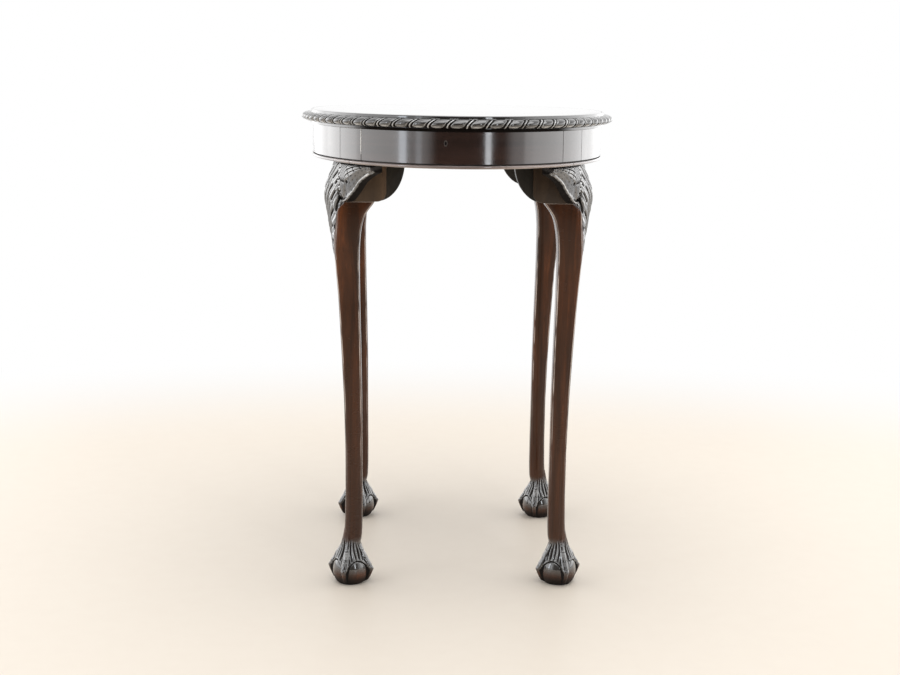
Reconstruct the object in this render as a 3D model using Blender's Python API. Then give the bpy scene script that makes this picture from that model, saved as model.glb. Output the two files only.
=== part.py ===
# Oval window table in mahogany: gadrooned edge, plain apron on a bead, four cabriole legs
# with carved knees on claw-and-ball feet. Metres, +Z up, X across the oval, Y along it.
# The origin is on the floor under the middle of the top. The front end is at -Y.
import math

import bmesh
import bpy
import numpy as np
from mathutils import Matrix, Vector

# Whole table
HEIGHT = 0.737
TOP_LENGTH = 0.762
TOP_WIDTH = 0.500
FIT_GAP = 0.0003
CUT_OVERRUN = 0.010
SMOOTH_DEGREES = 35.0
CARVED_SMOOTH_DEGREES = 50.0

# Top board and its carved edge
BOARD_THICKNESS = 0.0213
LIP_THICKNESS = 0.0042
LIP_REACH = 0.0040
EDGE_REACH = 0.018
EDGE_FLAT = 0.0030
FILLET_HEIGHT = 0.0040
FILLET_SPLAY = 0.0006
LOBE_TOP_REACH = 0.0050
LOBE_GROOVE = 0.0030
LOBE_LEAN = 0.017
LOBES = 72
BOARD_STEPS = 84
LENGTH_SAMPLES = 1440

# Apron
APRON_HEIGHT = 0.0455
RAIL_THICKNESS = 0.020
CORNER_THICKNESS = 0.032
BEAD_HEIGHT = 0.0060
BEAD_REACH = 0.0018
RAIL_STEPS = 16
CORNER_STEPS = 4
BEAD_STEPS = 16
BEAD_CURVE_STEPS = 5
SEAM_NEAR_SHARE = 0.63
SEAM_CLEARANCE = 0.0007

# Cross rails, glue blocks and screws
CROSS_RAIL_WIDTH = 0.058
CROSS_RAIL_HEIGHT = 0.038
GLUE_BLOCK_LENGTH = 0.050
GLUE_BLOCK_LEG = 0.017
END_BLOCK_SHARE = 0.50
SIDE_BLOCK_SHARE = 0.34
SCREW_RADIUS = 0.0022
SCREW_HEAD_RADIUS = 0.0046
SCREW_HEAD_HEIGHT = 0.0030
SCREW_BITE = 0.012
SCREW_SLOT_WIDTH = 0.0010
SCREW_SLOT_DEPTH = 0.0012
SCREW_SINK = 0.0040
SCREW_SPREAD = 0.105
ROUND_SIDES = 8

# Legs
LEG_PLACE_SHARE = 0.50
LEG_INSET = 0.0366
KNEE_BULGE = 0.0435
POST_HALF = 0.0250
POST_INNER_REACH = 0.0143
BRACKET_HEIGHT = 0.0598
TENON_LENGTH = 0.024
TENON_HALF_X = 0.0085
TENON_HALF_Y = 0.011
TENON_INSET = 0.0013
LEG_SIDES = 16
FACE_SHARE = 0.5
LEAF_RELIEF = 0.0016
LEAF_RIBS = 4
LEAF_END_SHARE = 0.77
LEAF_RISE_SHARE = 0.06

# Feet
BALL_RADIUS = 0.0285
BALL_SEAT = 0.0065
BALL_CROWN = math.radians(80.0)
BALL_ROWS = 5
BALL_SIDES = 12
CLAW_SPAN = 0.0376
CLAW_RADIUS = 0.0070
CLAW_TURN = math.radians(18.0)
CLAW_TOP = 0.066
CLAW_SIDES = 6

# Ears beside the knees, cheeks and brackets on the inner side of the legs
EAR_DEPTH = 0.014
EAR_LENGTH = 0.0812
EAR_SET_BACK = 0.0115
EAR_BULGE = 0.0060
EAR_FULLNESS = 0.8
EAR_THINNING_SHARE = 0.25
EAR_STEPS = 9
CHEEK_THICKNESS = 0.0095
CHEEK_INNER_REACH = 0.0538
CHEEK_OUTER_REACH = 0.0107
CHEEK_ROUND = 0.0145
BRACKET_TOP_REACH = 0.0813
BRACKET_FOOT_REACH = 0.0393
CURVE_STEPS = 7

# Sizes that follow from the ones above
APRON_HALF_X = TOP_WIDTH / 2 - EDGE_REACH
APRON_HALF_Y = TOP_LENGTH / 2 - EDGE_REACH
BOARD_BOTTOM = HEIGHT - BOARD_THICKNESS
LIP_TOP = BOARD_BOTTOM + LIP_THICKNESS
RAIL_TOP = BOARD_BOTTOM - FIT_GAP
RAIL_BOTTOM = RAIL_TOP - APRON_HEIGHT
BEAD_TOP = RAIL_BOTTOM - FIT_GAP
BEAD_BOTTOM = BEAD_TOP - BEAD_HEIGHT
LEG_TOP = BEAD_BOTTOM - FIT_GAP
BALL_CENTRE = BALL_RADIUS - BALL_SEAT
JOINT_HEIGHT = LEG_TOP - BRACKET_HEIGHT
LEG_AXIS_Y = APRON_HALF_Y * LEG_PLACE_SHARE
LEG_AXIS_X = APRON_HALF_X * math.sqrt(1.0 - LEG_PLACE_SHARE ** 2) - LEG_INSET
POST_INNER_X = LEG_AXIS_X - POST_INNER_REACH
TENON_AXIS_X = LEG_AXIS_X - TENON_INSET
CHEEK_INNER_X = LEG_AXIS_X - CHEEK_INNER_REACH
CHEEK_OUTER_X = LEG_AXIS_X + CHEEK_OUTER_REACH
BRACKET_TOP_X = LEG_AXIS_X - BRACKET_TOP_REACH
BRACKET_FOOT_X = LEG_AXIS_X - BRACKET_FOOT_REACH

# Sections of the leg from the knee down: share of the leg's height, the outer and inner
# silhouettes as shares of the knee's bulge from the leg's axis, half the depth as a share of the
# post's, how square the section is, and how much of the apron's slope its outer face follows.
LEG_SECTION_SHARES = (
    (1.0000, 0.450, -0.900, 1.00, 8.0, 1.00),
    (0.9850, 0.545, -0.900, 1.00, 8.0, 1.05),
    (0.9650, 0.660, -0.900, 1.00, 8.0, 1.10),
    (0.9400, 0.755, -0.900, 1.00, 8.0, 1.18),
    (0.9100, 0.765, -0.860, 1.00, 7.0, 1.15),
    (0.8950, 0.750, -0.670, 1.00, 6.5, 1.05),
    (0.8770, 0.735, -0.490, 0.99, 6.0, 0.95),
    (0.8580, 0.715, -0.400, 0.97, 5.5, 0.85),
    (0.8350, 0.680, -0.340, 0.93, 5.0, 0.65),
    (0.8000, 0.625, -0.300, 0.86, 4.5, 0.30),
    (0.7530, 0.540, -0.300, 0.76, 4.0, 0.10),
    (0.6830, 0.440, -0.317, 0.67, 3.4, 0.00),
    (0.4460, 0.246, -0.398, 0.56, 2.4, 0.00),
    (0.3250, 0.195, -0.407, 0.53, 2.3, 0.00),
    (0.2100, 0.190, -0.415, 0.52, 2.2, 0.00),
    (0.1300, 0.200, -0.415, 0.54, 2.2, 0.00),
    (0.1060, 0.250, -0.420, 0.56, 2.0, 0.00),
    (0.0930, 0.300, -0.330, 0.60, 2.0, 0.00),
    (0.0800, 0.440, -0.400, 0.80, 2.0, 0.00),
    (0.0650, 0.560, -0.520, 0.98, 2.0, 0.00),
    (0.0550, 0.600, -0.600, 1.04, 2.0, 0.00),
)

# A claw from the ankle down: reach from the foot's axis and height as shares of the claws' span
# and of their top height, then the toe's radius as a share of its thickest.
CLAW_PATH_SHARES = (
    (0.26, 1.00, 0.55),
    (0.46, 0.80, 0.85),
    (0.67, 0.60, 1.00),
    (0.83, 0.43, 0.95),
    (0.80, 0.27, 0.72),
    (0.68, 0.10, 0.40),
)

# Where a column of the carved edge stands in its repeat, and how deep it lies: groove, thin
# ridge, groove, then the two shoulders of the broad lobe.
LOBE_COLUMN_SHARES = ((0.00, 1.0), (0.09, 0.35), (0.18, 1.0), (0.40, 0.0), (0.78, 0.0))

# Rows of the carved face: angle round the quarter round in degrees, and how much of the groove
# is cut there.
LOBE_ROW_SHARES = ((88, 0.35), (46, 1.0), (0, 1.0), (-52, 0.7))

# Rows down the face of an ear, from just under its top to its lower edge.
EAR_ROW_SHARES = (0.75, 0.5, 0.25, 0.0)

# Underside of an ear from the leg out to its tip: share of the length, share of the height.
EAR_CURVE_SHARES = ((0.0, 0.0), (0.06, 0.0), (0.20, 0.06), (0.34, 0.18), (0.48, 0.33), (0.63, 0.54),
                    (0.83, 0.72), (1.0, 0.83))

QUARTERS = (("front_left", -1, -1), ("front_right", 1, -1), ("back_left", -1, 1), ("back_right", 1, 1))


def clear_scene():
    for obj in list(bpy.data.objects):
        bpy.data.objects.remove(obj, do_unlink=True)


def make_material(name, colour, roughness, metallic=0.0):
    mat = bpy.data.materials.new(name)
    mat.use_nodes = True
    shader = mat.node_tree.nodes["Principled BSDF"]
    shader.inputs["Base Color"].default_value = (*colour, 1.0)
    shader.inputs["Roughness"].default_value = roughness
    shader.inputs["Metallic"].default_value = metallic
    mat.diffuse_color = (*colour, 1.0)
    return mat


def add_object(name, mesh, mat):
    mesh.name = name
    mesh.materials.clear()
    mesh.materials.append(mat)
    obj = bpy.data.objects.new(name, mesh)
    bpy.context.scene.collection.objects.link(obj)
    return obj


def smooth(mesh, degrees=SMOOTH_DEGREES):
    mesh.shade_smooth()
    mesh.set_sharp_from_angle(angle=math.radians(degrees))
    return mesh


def loft(rings, cap_pair=None):
    """A closed skin over rings of points that all have the same count. The end of a leaning
    ring is closed by a fan from the point halfway between the two named ones."""
    bm = bmesh.new()
    rows = [[bm.verts.new(Vector(point)) for point in ring] for ring in rings]
    count = len(rings[0])
    for lower, upper in zip(rows, rows[1:]):
        for i in range(count):
            j = (i + 1) % count
            bm.faces.new((lower[i], lower[j], upper[j], upper[i]))
    for row in (rows[0], rows[-1]):
        if cap_pair:
            centre = bm.verts.new((row[cap_pair[0]].co + row[cap_pair[1]].co) / 2)
            for i in range(count):
                bm.faces.new((row[i], row[(i + 1) % count], centre))
        else:
            bm.faces.new(row)
    bmesh.ops.recalc_face_normals(bm, faces=bm.faces)
    mesh = bpy.data.meshes.new("loft")
    bm.to_mesh(mesh)
    bm.free()
    return mesh


def prism(outline, low, high):
    """An upright solid over a flat outline of (x, y) points."""
    return loft([[(x, y, z) for x, y in outline] for z in (low, high)])


def box(x_low, x_high, y_low, y_high, z_low, z_high):
    return prism(((x_low, y_low), (x_high, y_low), (x_high, y_high), (x_low, y_high)), z_low, z_high)


def cylinder(x, y, radius, low, high, sides=ROUND_SIDES):
    outline = [(x + radius * math.cos(math.tau * i / sides), y + radius * math.sin(math.tau * i / sides))
               for i in range(sides)]
    return prism(outline, low, high)


def combine(mesh, others, operation):
    """Union with, or difference from, a list of closed meshes, as a plain mesh."""
    base = bpy.data.objects.new("work", mesh)
    bpy.context.scene.collection.objects.link(base)
    helpers = []
    for other in others:
        helper = bpy.data.objects.new("tool", other)
        helper.hide_render = True
        helper.display_type = "WIRE"
        bpy.context.scene.collection.objects.link(helper)
        helpers.append(helper)
        modifier = base.modifiers.new("shape", "BOOLEAN")
        modifier.operation = operation
        modifier.solver = "EXACT"
        modifier.object = helper
    graph = bpy.context.evaluated_depsgraph_get()
    result = bpy.data.meshes.new_from_object(base.evaluated_get(graph))
    for obj in [base] + helpers:
        bpy.data.objects.remove(obj, do_unlink=True)
    return result


def oval_point(phi, reach, z):
    """A point beside the apron's outline, phi measured from the front end towards +X."""
    return ((APRON_HALF_X + reach) * math.sin(phi), -(APRON_HALF_Y + reach) * math.cos(phi), z)


def oval_x(y, reach=0.0):
    """How far the outline stands from the middle line at a place along the table."""
    share = abs(y) / (APRON_HALF_Y + reach)
    return (APRON_HALF_X + reach) * math.sqrt(max(0.0, 1.0 - share * share))


def oval_speed(phi, reach=0.0):
    return math.hypot((APRON_HALF_X + reach) * math.cos(phi), (APRON_HALF_Y + reach) * math.sin(phi))


def oval_strip(start, end, steps, profile):
    """Sweep a closed profile of (reach, z) along the oval, half a fit gap short at each end."""
    start += FIT_GAP / 2 / oval_speed(start)
    end -= FIT_GAP / 2 / oval_speed(end)
    rings = []
    for i in range(steps + 1):
        phi = start + (end - start) * i / steps
        rings.append([oval_point(phi, reach, z) for reach, z in profile])
    return loft(rings)


def mirrored_copies(base_name, mesh, mat, quarters=QUARTERS):
    """Four copies of a piece modelled at +X and -Y, one for each leg."""
    for quarter, side, end in quarters:
        copy = mesh.copy()
        copy.transform(Matrix.Diagonal((side, -end, 1.0, 1.0)))
        if side * -end < 0:
            copy.flip_normals()
        add_object(base_name + "_" + quarter, copy, mat)


def seam_angles():
    """The corner blocks' two ends: the far one stands just clear of the cross rail."""
    rail_end = LEG_AXIS_Y + CROSS_RAIL_WIDTH / 2 + SEAM_CLEARANCE
    return math.asin(SEAM_NEAR_SHARE), math.acos(rail_end / (APRON_HALF_Y - CORNER_THICKNESS))


def build_top_board(mat):
    """The oval board, rebated all round for the carved edge, with holes for the top screws."""
    def ring(reach, z):
        return [oval_point(math.tau * i / BOARD_STEPS, reach, z) for i in range(BOARD_STEPS)]
    board = loft([ring(LIP_REACH, BOARD_BOTTOM), ring(LIP_REACH, LIP_TOP - FIT_GAP),
                  ring(0.0, LIP_TOP - FIT_GAP), ring(0.0, HEIGHT)])
    holes = [cylinder(x, y, SCREW_RADIUS + FIT_GAP, BOARD_BOTTOM - CUT_OVERRUN,
                      BOARD_BOTTOM + SCREW_BITE + FIT_GAP) for x, y in screw_places()]
    add_object("top_board", smooth(combine(board, holes, "DIFFERENCE")), mat)


def build_carved_edge(mat):
    """Four lengths of gadrooning: leaning lobes with a thin ridge between each pair."""
    angles = np.linspace(0.0, math.tau, LENGTH_SAMPLES + 1)
    middle_reach = (LOBE_TOP_REACH + EDGE_REACH) / 2
    speeds = np.array([oval_speed(angle, middle_reach) for angle in angles])
    lengths = np.concatenate(([0.0], np.cumsum((speeds[1:] + speeds[:-1]) / 2 * np.diff(angles))))
    pitch = lengths[-1] / LOBES
    lobe_centre_z = HEIGHT - FILLET_HEIGHT - (HEIGHT - FILLET_HEIGHT - LIP_TOP) / 2
    radius_reach = EDGE_REACH - LOBE_TOP_REACH
    radius_z = HEIGHT - FILLET_HEIGHT - lobe_centre_z

    def angle_at(length):
        return float(np.interp(length % lengths[-1], lengths, angles))

    def column(length, groove):
        """One ring of the edge: its back stands upright against the board, its face leans."""
        points = [(EDGE_FLAT, HEIGHT), (EDGE_FLAT + FILLET_SPLAY, HEIGHT - FILLET_HEIGHT)]
        for degrees, cut in LOBE_ROW_SHARES:
            turn = math.radians(degrees)
            out_share = 1.0 - groove * cut * LOBE_GROOVE / radius_z
            points.append((LOBE_TOP_REACH + radius_reach * out_share * math.cos(turn),
                           lobe_centre_z + radius_z * out_share * math.sin(turn)))
        ring = [oval_point(angle_at(length), FIT_GAP, HEIGHT)]
        for reach, z in points:
            rise = (z - LIP_TOP) / (HEIGHT - LIP_TOP)
            ring.append(oval_point(angle_at(length + LOBE_LEAN * rise), reach, z))
        ring.append(oval_point(angle_at(length), FIT_GAP, LIP_TOP))
        return ring

    lobes_each = LOBES // 4
    for name, first in (("edge_right", 0), ("edge_back", 1), ("edge_left", 2), ("edge_front", 3)):
        start = (first + 0.5) * lobes_each * pitch
        rings = []
        for lobe in range(lobes_each):
            for place, groove in LOBE_COLUMN_SHARES:
                rings.append(column(start + (lobe + place) * pitch + FIT_GAP / 2 * (not lobe and not place),
                                    groove))
        rings.append(column(start + lobes_each * pitch - FIT_GAP / 2, LOBE_COLUMN_SHARES[0][1]))
        add_object(name, smooth(loft(rings, cap_pair=(1, -1)), CARVED_SMOOTH_DEGREES), mat)


def build_apron(veneer, bead_wood):
    """End rails, side rails and the short corner blocks between them, over a bent bead."""
    near, far = seam_angles()
    rail = ((0.0, RAIL_BOTTOM), (0.0, RAIL_TOP), (-RAIL_THICKNESS, RAIL_TOP), (-RAIL_THICKNESS, RAIL_BOTTOM))
    corner = ((0.0, RAIL_BOTTOM), (0.0, RAIL_TOP), (-CORNER_THICKNESS, RAIL_TOP),
              (-CORNER_THICKNESS, RAIL_BOTTOM))
    middle = (BEAD_BOTTOM + BEAD_TOP) / 2
    bead = [(-RAIL_THICKNESS, BEAD_TOP), (0.0, BEAD_TOP)]
    for i in range(1, BEAD_CURVE_STEPS):
        turn = math.pi * (0.5 - i / BEAD_CURVE_STEPS)
        bead.append((BEAD_REACH * math.cos(turn), middle + BEAD_HEIGHT / 2 * math.sin(turn)))
    bead += [(0.0, BEAD_BOTTOM), (-RAIL_THICKNESS, BEAD_BOTTOM)]
    half_turn = math.pi
    for name, start, end in (
            ("end_rail_front", -near, near),
            ("end_rail_back", half_turn - near, half_turn + near),
            ("side_rail_right", far, half_turn - far),
            ("side_rail_left", half_turn + far, math.tau - far)):
        add_object(name, smooth(oval_strip(start, end, RAIL_STEPS, rail)), veneer)
    for name, start in (("corner_block_front_right", near), ("corner_block_back_right", half_turn - far),
                        ("corner_block_back_left", half_turn + near),
                        ("corner_block_front_left", math.tau - far)):
        add_object(name, smooth(oval_strip(start, start + far - near, CORNER_STEPS, corner)), veneer)
    joint = (near + far) / 2
    for name, start, end in (("bead_front", -joint, joint), ("bead_right", joint, half_turn - joint),
                             ("bead_back", half_turn - joint, half_turn + joint),
                             ("bead_left", half_turn + joint, math.tau - joint)):
        add_object(name, smooth(oval_strip(start, end, BEAD_STEPS, bead)), bead_wood)


def screw_places():
    return [(x, y) for y in (-LEG_AXIS_Y, LEG_AXIS_Y) for x in (-SCREW_SPREAD / 2, SCREW_SPREAD / 2)]


def build_cross_rails(mat):
    """Two rails across the inside of the apron: they hold the legs' tenons and the top's screws."""
    low = LEG_TOP + FIT_GAP
    high = low + CROSS_RAIL_HEIGHT
    inner = -RAIL_THICKNESS - FIT_GAP * 2
    for name, end in (("cross_rail_front", -1), ("cross_rail_back", 1)):
        outline = []
        for side in (1, -1):
            places = [LEG_AXIS_Y + CROSS_RAIL_WIDTH * share for share in (-0.5, -0.25, 0.0, 0.25, 0.5)]
            edge = [(side * oval_x(y, inner), end * y) for y in places]
            outline += edge if side > 0 else edge[::-1]
        cutters = []
        for side in (-1, 1):
            x = side * TENON_AXIS_X
            half_x = TENON_HALF_X + FIT_GAP
            half_y = TENON_HALF_Y + FIT_GAP
            cutters.append(box(x - half_x, x + half_x, end * LEG_AXIS_Y - half_y, end * LEG_AXIS_Y + half_y,
                               low - CUT_OVERRUN, low + TENON_LENGTH + FIT_GAP))
        for x, y in screw_places():
            if y * end > 0:
                cutters.append(cylinder(x, y, SCREW_RADIUS + FIT_GAP, low - CUT_OVERRUN, high + CUT_OVERRUN))
                cutters.append(cylinder(x, y, SCREW_HEAD_RADIUS + FIT_GAP, low - CUT_OVERRUN,
                                        low + SCREW_SINK))
        add_object(name, combine(prism(outline, low, high), cutters, "DIFFERENCE"), mat)


def build_screws(mat):
    """Slotted screws, sunk in the underside of the cross rails and driven up into the board."""
    low = LEG_TOP + FIT_GAP
    seat = low + SCREW_SINK
    head_low = seat - FIT_GAP - SCREW_HEAD_HEIGHT
    for x, y in screw_places():
        shank = cylinder(x, y, SCREW_RADIUS, seat - SCREW_HEAD_HEIGHT / 2, BOARD_BOTTOM + SCREW_BITE)
        head = cylinder(x, y, SCREW_HEAD_RADIUS, head_low, seat - FIT_GAP)
        slot = box(x - SCREW_HEAD_RADIUS - CUT_OVERRUN, x + SCREW_HEAD_RADIUS + CUT_OVERRUN,
                   y - SCREW_SLOT_WIDTH / 2, y + SCREW_SLOT_WIDTH / 2,
                   head_low - CUT_OVERRUN, head_low + SCREW_SLOT_DEPTH)
        screw = combine(combine(head, [shank], "UNION"), [slot], "DIFFERENCE")
        place = ("front" if y < 0 else "back") + ("_left" if x < 0 else "_right")
        add_object("top_screw_" + place, smooth(screw), mat)


def build_glue_blocks(mat):
    """Triangular blocks in the angle between the apron and the board."""
    near, far = seam_angles()
    quarter_turn = math.pi / 2
    end_turn = near * END_BLOCK_SHARE
    side_turn = near * SIDE_BLOCK_SHARE
    places = (("front_left", -end_turn), ("front_right", end_turn), ("right_front", quarter_turn - side_turn),
              ("right_back", quarter_turn + side_turn), ("back_right", math.pi - end_turn),
              ("back_left", math.pi + end_turn), ("left_back", -quarter_turn - side_turn),
              ("left_front", -quarter_turn + side_turn))
    for name, phi in places:
        inner = -RAIL_THICKNESS - FIT_GAP
        half = GLUE_BLOCK_LENGTH / 2 / oval_speed(phi, inner)
        rings = []
        for turn in (phi - half, phi + half):
            rings.append([oval_point(turn, inner, RAIL_TOP),
                          oval_point(turn, inner, RAIL_TOP - GLUE_BLOCK_LEG),
                          oval_point(turn, inner - GLUE_BLOCK_LEG, RAIL_TOP)])
        add_object("glue_block_" + name, loft(rings), mat)


def leg_section(share, outer_share, inner_share, depth_share, squareness, slope_share):
    """One ring of the leg: a squared round whose outer face follows the apron on the knee."""
    outer = LEG_AXIS_X + KNEE_BULGE * outer_share
    inner = LEG_AXIS_X + KNEE_BULGE * inner_share
    half_x = (outer - inner) / 2
    half_y = POST_HALF * depth_share
    slope = (oval_x(LEG_AXIS_Y - POST_HALF) - oval_x(LEG_AXIS_Y + POST_HALF)) / (2 * POST_HALF)
    leaf = min(1.0, max(0.0, (share - LEAF_END_SHARE) / LEAF_RISE_SHARE))
    ring = []
    for i in range(LEG_SIDES):
        turn = math.tau * i / LEG_SIDES
        c, s = math.cos(turn), math.sin(turn)
        power = 2.0 / squareness
        x = half_x * math.copysign(abs(c) ** power, c)
        y = half_y * math.copysign(abs(s) ** power, s)
        if c > 0:
            x += y * slope * slope_share * min(1.0, c / FACE_SHARE)
            x += LEAF_RELIEF * leaf * math.cos(LEAF_RIBS * turn) * c
        ring.append(((outer + inner) / 2 + x, -LEG_AXIS_Y + y, LEG_TOP * share))
    return ring


def ball():
    """The ball under the claws, cut flat where it stands on the floor."""
    rings = []
    lowest = math.asin(-BALL_CENTRE / BALL_RADIUS)
    for i in range(BALL_ROWS + 1):
        tilt = lowest + (BALL_CROWN - lowest) * i / BALL_ROWS
        reach = BALL_RADIUS * math.cos(tilt)
        rings.append([(LEG_AXIS_X + reach * math.cos(math.tau * k / BALL_SIDES),
                       -LEG_AXIS_Y + reach * math.sin(math.tau * k / BALL_SIDES),
                       BALL_CENTRE + BALL_RADIUS * math.sin(tilt)) for k in range(BALL_SIDES)])
    return loft(rings)


def claw(turn):
    """One toe of the claw, from the ankle over the ball down to its nail."""
    out = Vector((math.cos(turn), math.sin(turn), 0.0))
    side = Vector((-math.sin(turn), math.cos(turn), 0.0))
    axis = Vector((LEG_AXIS_X, -LEG_AXIS_Y, 0.0))
    path = [out * (CLAW_SPAN * reach) + Vector((0.0, 0.0, CLAW_TOP * height))
            for reach, height, _ in CLAW_PATH_SHARES]
    rings = []
    for i, (_, _, radius_share) in enumerate(CLAW_PATH_SHARES):
        before = path[max(0, i - 1)]
        after = path[min(len(path) - 1, i + 1)]
        along = (after - before).normalized()
        up = side.cross(along)
        radius = CLAW_RADIUS * radius_share
        rings.append([axis + path[i] + (side * math.cos(math.tau * k / CLAW_SIDES)
                                        + up * math.sin(math.tau * k / CLAW_SIDES)) * radius
                      for k in range(CLAW_SIDES)])
    return loft(rings)


def build_legs(mat):
    """Cabriole leg in one piece: tenon, squared knee, slender shank, ball held by four claws."""
    leg = loft([leg_section(*row) for row in LEG_SECTION_SHARES])
    tenon = box(TENON_AXIS_X - TENON_HALF_X, TENON_AXIS_X + TENON_HALF_X,
                -LEG_AXIS_Y - TENON_HALF_Y, -LEG_AXIS_Y + TENON_HALF_Y,
                LEG_TOP - TENON_LENGTH, LEG_TOP + TENON_LENGTH)
    toes = [claw(CLAW_TURN + math.pi / 2 * i) for i in range(4)]
    solid = combine(leg, [ball()] + toes + [tenon], "UNION")
    # The seat for the bracket and the two cheeks is sawn out of the inner side.
    web = POST_HALF - CHEEK_THICKNESS
    top = LEG_TOP + CUT_OVERRUN
    inner_seat = box(BRACKET_TOP_X, POST_INNER_X, -LEG_AXIS_Y - POST_HALF - CUT_OVERRUN,
                     -LEG_AXIS_Y + POST_HALF + CUT_OVERRUN, JOINT_HEIGHT, top)
    cheek_seats = [box(BRACKET_TOP_X, CHEEK_OUTER_X, -LEG_AXIS_Y + low, -LEG_AXIS_Y + high, JOINT_HEIGHT, top)
                   for low, high in ((-POST_HALF - CUT_OVERRUN, -web), (web, POST_HALF + CUT_OVERRUN))]
    solid = combine(solid, [inner_seat] + cheek_seats, "DIFFERENCE")
    mirrored_copies("leg", smooth(solid), mat)


def build_brackets(mat):
    """The rounded bracket on the inner side of each leg, between two thinner cheeks."""
    seat = JOINT_HEIGHT + FIT_GAP
    half = POST_HALF - CHEEK_THICKNESS - FIT_GAP
    outline = [(POST_INNER_X - FIT_GAP, seat), (POST_INNER_X - FIT_GAP, LEG_TOP)]
    for i in range(CURVE_STEPS + 1):
        turn = math.pi / 2 * i / CURVE_STEPS
        outline.append((BRACKET_FOOT_X - (BRACKET_FOOT_X - BRACKET_TOP_X) * math.cos(turn),
                        LEG_TOP - (LEG_TOP - seat) * math.sin(turn)))
    bracket = loft([[(x, -LEG_AXIS_Y + y, z) for x, z in outline] for y in (-half, half)])
    mirrored_copies("knee_bracket", bracket, mat)
    cheek = [(CHEEK_OUTER_X - FIT_GAP, seat), (CHEEK_OUTER_X - FIT_GAP, LEG_TOP), (CHEEK_INNER_X, LEG_TOP)]
    for i in range(CURVE_STEPS + 1):
        turn = math.pi / 2 * i / CURVE_STEPS
        cheek.append((CHEEK_INNER_X + CHEEK_ROUND * (1.0 - math.cos(turn)),
                      seat + CHEEK_ROUND * (1.0 - math.sin(turn))))
    for name, low, high in (("outer_cheek", -POST_HALF, -half - FIT_GAP * 2),
                            ("inner_cheek", half + FIT_GAP * 2, POST_HALF)):
        plate = loft([[(x, -LEG_AXIS_Y + y, z) for x, z in cheek] for y in (low, high)])
        mirrored_copies(name, plate, mat)


def build_ears(mat):
    """An ear beside each knee: it follows the apron towards the table's end, and its underside
    is sawn to a curve that rises to a thin tip under the bead."""
    start = LEG_AXIS_Y + POST_HALF + FIT_GAP
    height = LEG_TOP - JOINT_HEIGHT
    shares, drops = zip(*EAR_CURVE_SHARES)
    rings = []
    for i in range(EAR_STEPS + 1):
        along = i / EAR_STEPS
        y = start + EAR_LENGTH * along
        low = JOINT_HEIGHT + height * float(np.interp(along, shares, drops))
        outer = oval_x(y, -EAR_SET_BACK)
        inner = outer - EAR_DEPTH * (1.0 - EAR_THINNING_SHARE * along)
        ring = [(inner, -y, LEG_TOP), (outer, -y, LEG_TOP)]
        for rise in EAR_ROW_SHARES:
            swell = EAR_BULGE * math.sin(math.pi * (1.0 - rise) ** EAR_FULLNESS)
            ring.append((outer + swell, -y, low + (LEG_TOP - low) * rise))
        ring.append((inner, -y, low))
        rings.append(ring)
    mirrored_copies("ear", smooth(loft(rings)), mat)


def main():
    clear_scene()
    mahogany = make_material("mahogany", (0.10, 0.032, 0.014), 0.28)
    veneer = make_material("mahogany_veneer", (0.075, 0.022, 0.011), 0.15)
    carved = make_material("mahogany_carved", (0.045, 0.018, 0.011), 0.32)
    inside = make_material("inside_wood", (0.20, 0.11, 0.055), 0.6)
    iron = make_material("screw_iron", (0.28, 0.27, 0.26), 0.45, 0.9)
    build_top_board(veneer)
    build_carved_edge(carved)
    build_apron(veneer, mahogany)
    build_cross_rails(inside)
    build_screws(iron)
    build_glue_blocks(inside)
    build_legs(mahogany)
    build_brackets(mahogany)
    build_ears(carved)


main()
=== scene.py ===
# Oval mahogany window table: gadrooned edge, beaded apron, cabriole legs on claw-and-ball feet.
# Sizes are in millimetres, measured from the floor and the middle of the top; meshes are in metres.
import math

import bmesh
import bpy
import numpy as np
from mathutils import Matrix, Vector


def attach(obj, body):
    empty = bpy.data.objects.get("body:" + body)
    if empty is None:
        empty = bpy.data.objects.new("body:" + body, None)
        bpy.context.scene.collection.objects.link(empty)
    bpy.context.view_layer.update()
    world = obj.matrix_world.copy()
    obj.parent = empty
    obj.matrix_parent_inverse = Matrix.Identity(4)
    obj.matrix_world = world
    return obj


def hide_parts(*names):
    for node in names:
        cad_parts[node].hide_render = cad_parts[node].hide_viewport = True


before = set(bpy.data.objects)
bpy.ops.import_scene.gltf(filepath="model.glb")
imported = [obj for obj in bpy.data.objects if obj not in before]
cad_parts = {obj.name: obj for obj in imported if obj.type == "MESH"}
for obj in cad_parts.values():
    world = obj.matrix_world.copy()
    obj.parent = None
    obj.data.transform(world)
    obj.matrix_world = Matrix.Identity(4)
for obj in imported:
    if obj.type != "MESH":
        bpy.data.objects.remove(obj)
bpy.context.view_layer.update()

mm = 0.001
quarters = (("front_left", -1, -1), ("front_right", 1, -1), ("back_left", -1, 1), ("back_right", 1, 1))

oval = {
    "halfX": 232.0,        # outline of the apron
    "halfY": 363.0,
    "top": 737.0,
    "boardBottom": 715.7,
    "gap": 0.3,            # joints show as hairlines
}


# mesh helpers

def ovalPoints(turns, reach, z):
    turns = np.asarray(turns, float)
    return np.stack([(oval["halfX"] + reach) * np.sin(turns),
                     -(oval["halfY"] + reach) * np.cos(turns),
                     np.zeros_like(turns) + z], -1)


def ovalHalfWidth(y, reach=0.0):
    share = np.clip(np.abs(y) / (oval["halfY"] + reach), 0, 1)
    return (oval["halfX"] + reach) * np.sqrt(1 - share * share)


def ease(value, low, high):
    t = np.clip((value - low) / (high - low), 0, 1)
    return t * t * (3 - 2 * t)


def bell(value, centre, width):
    return np.exp(-((value - centre) / width) ** 2)


def fraction(value):
    return value - np.floor(value)


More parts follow.
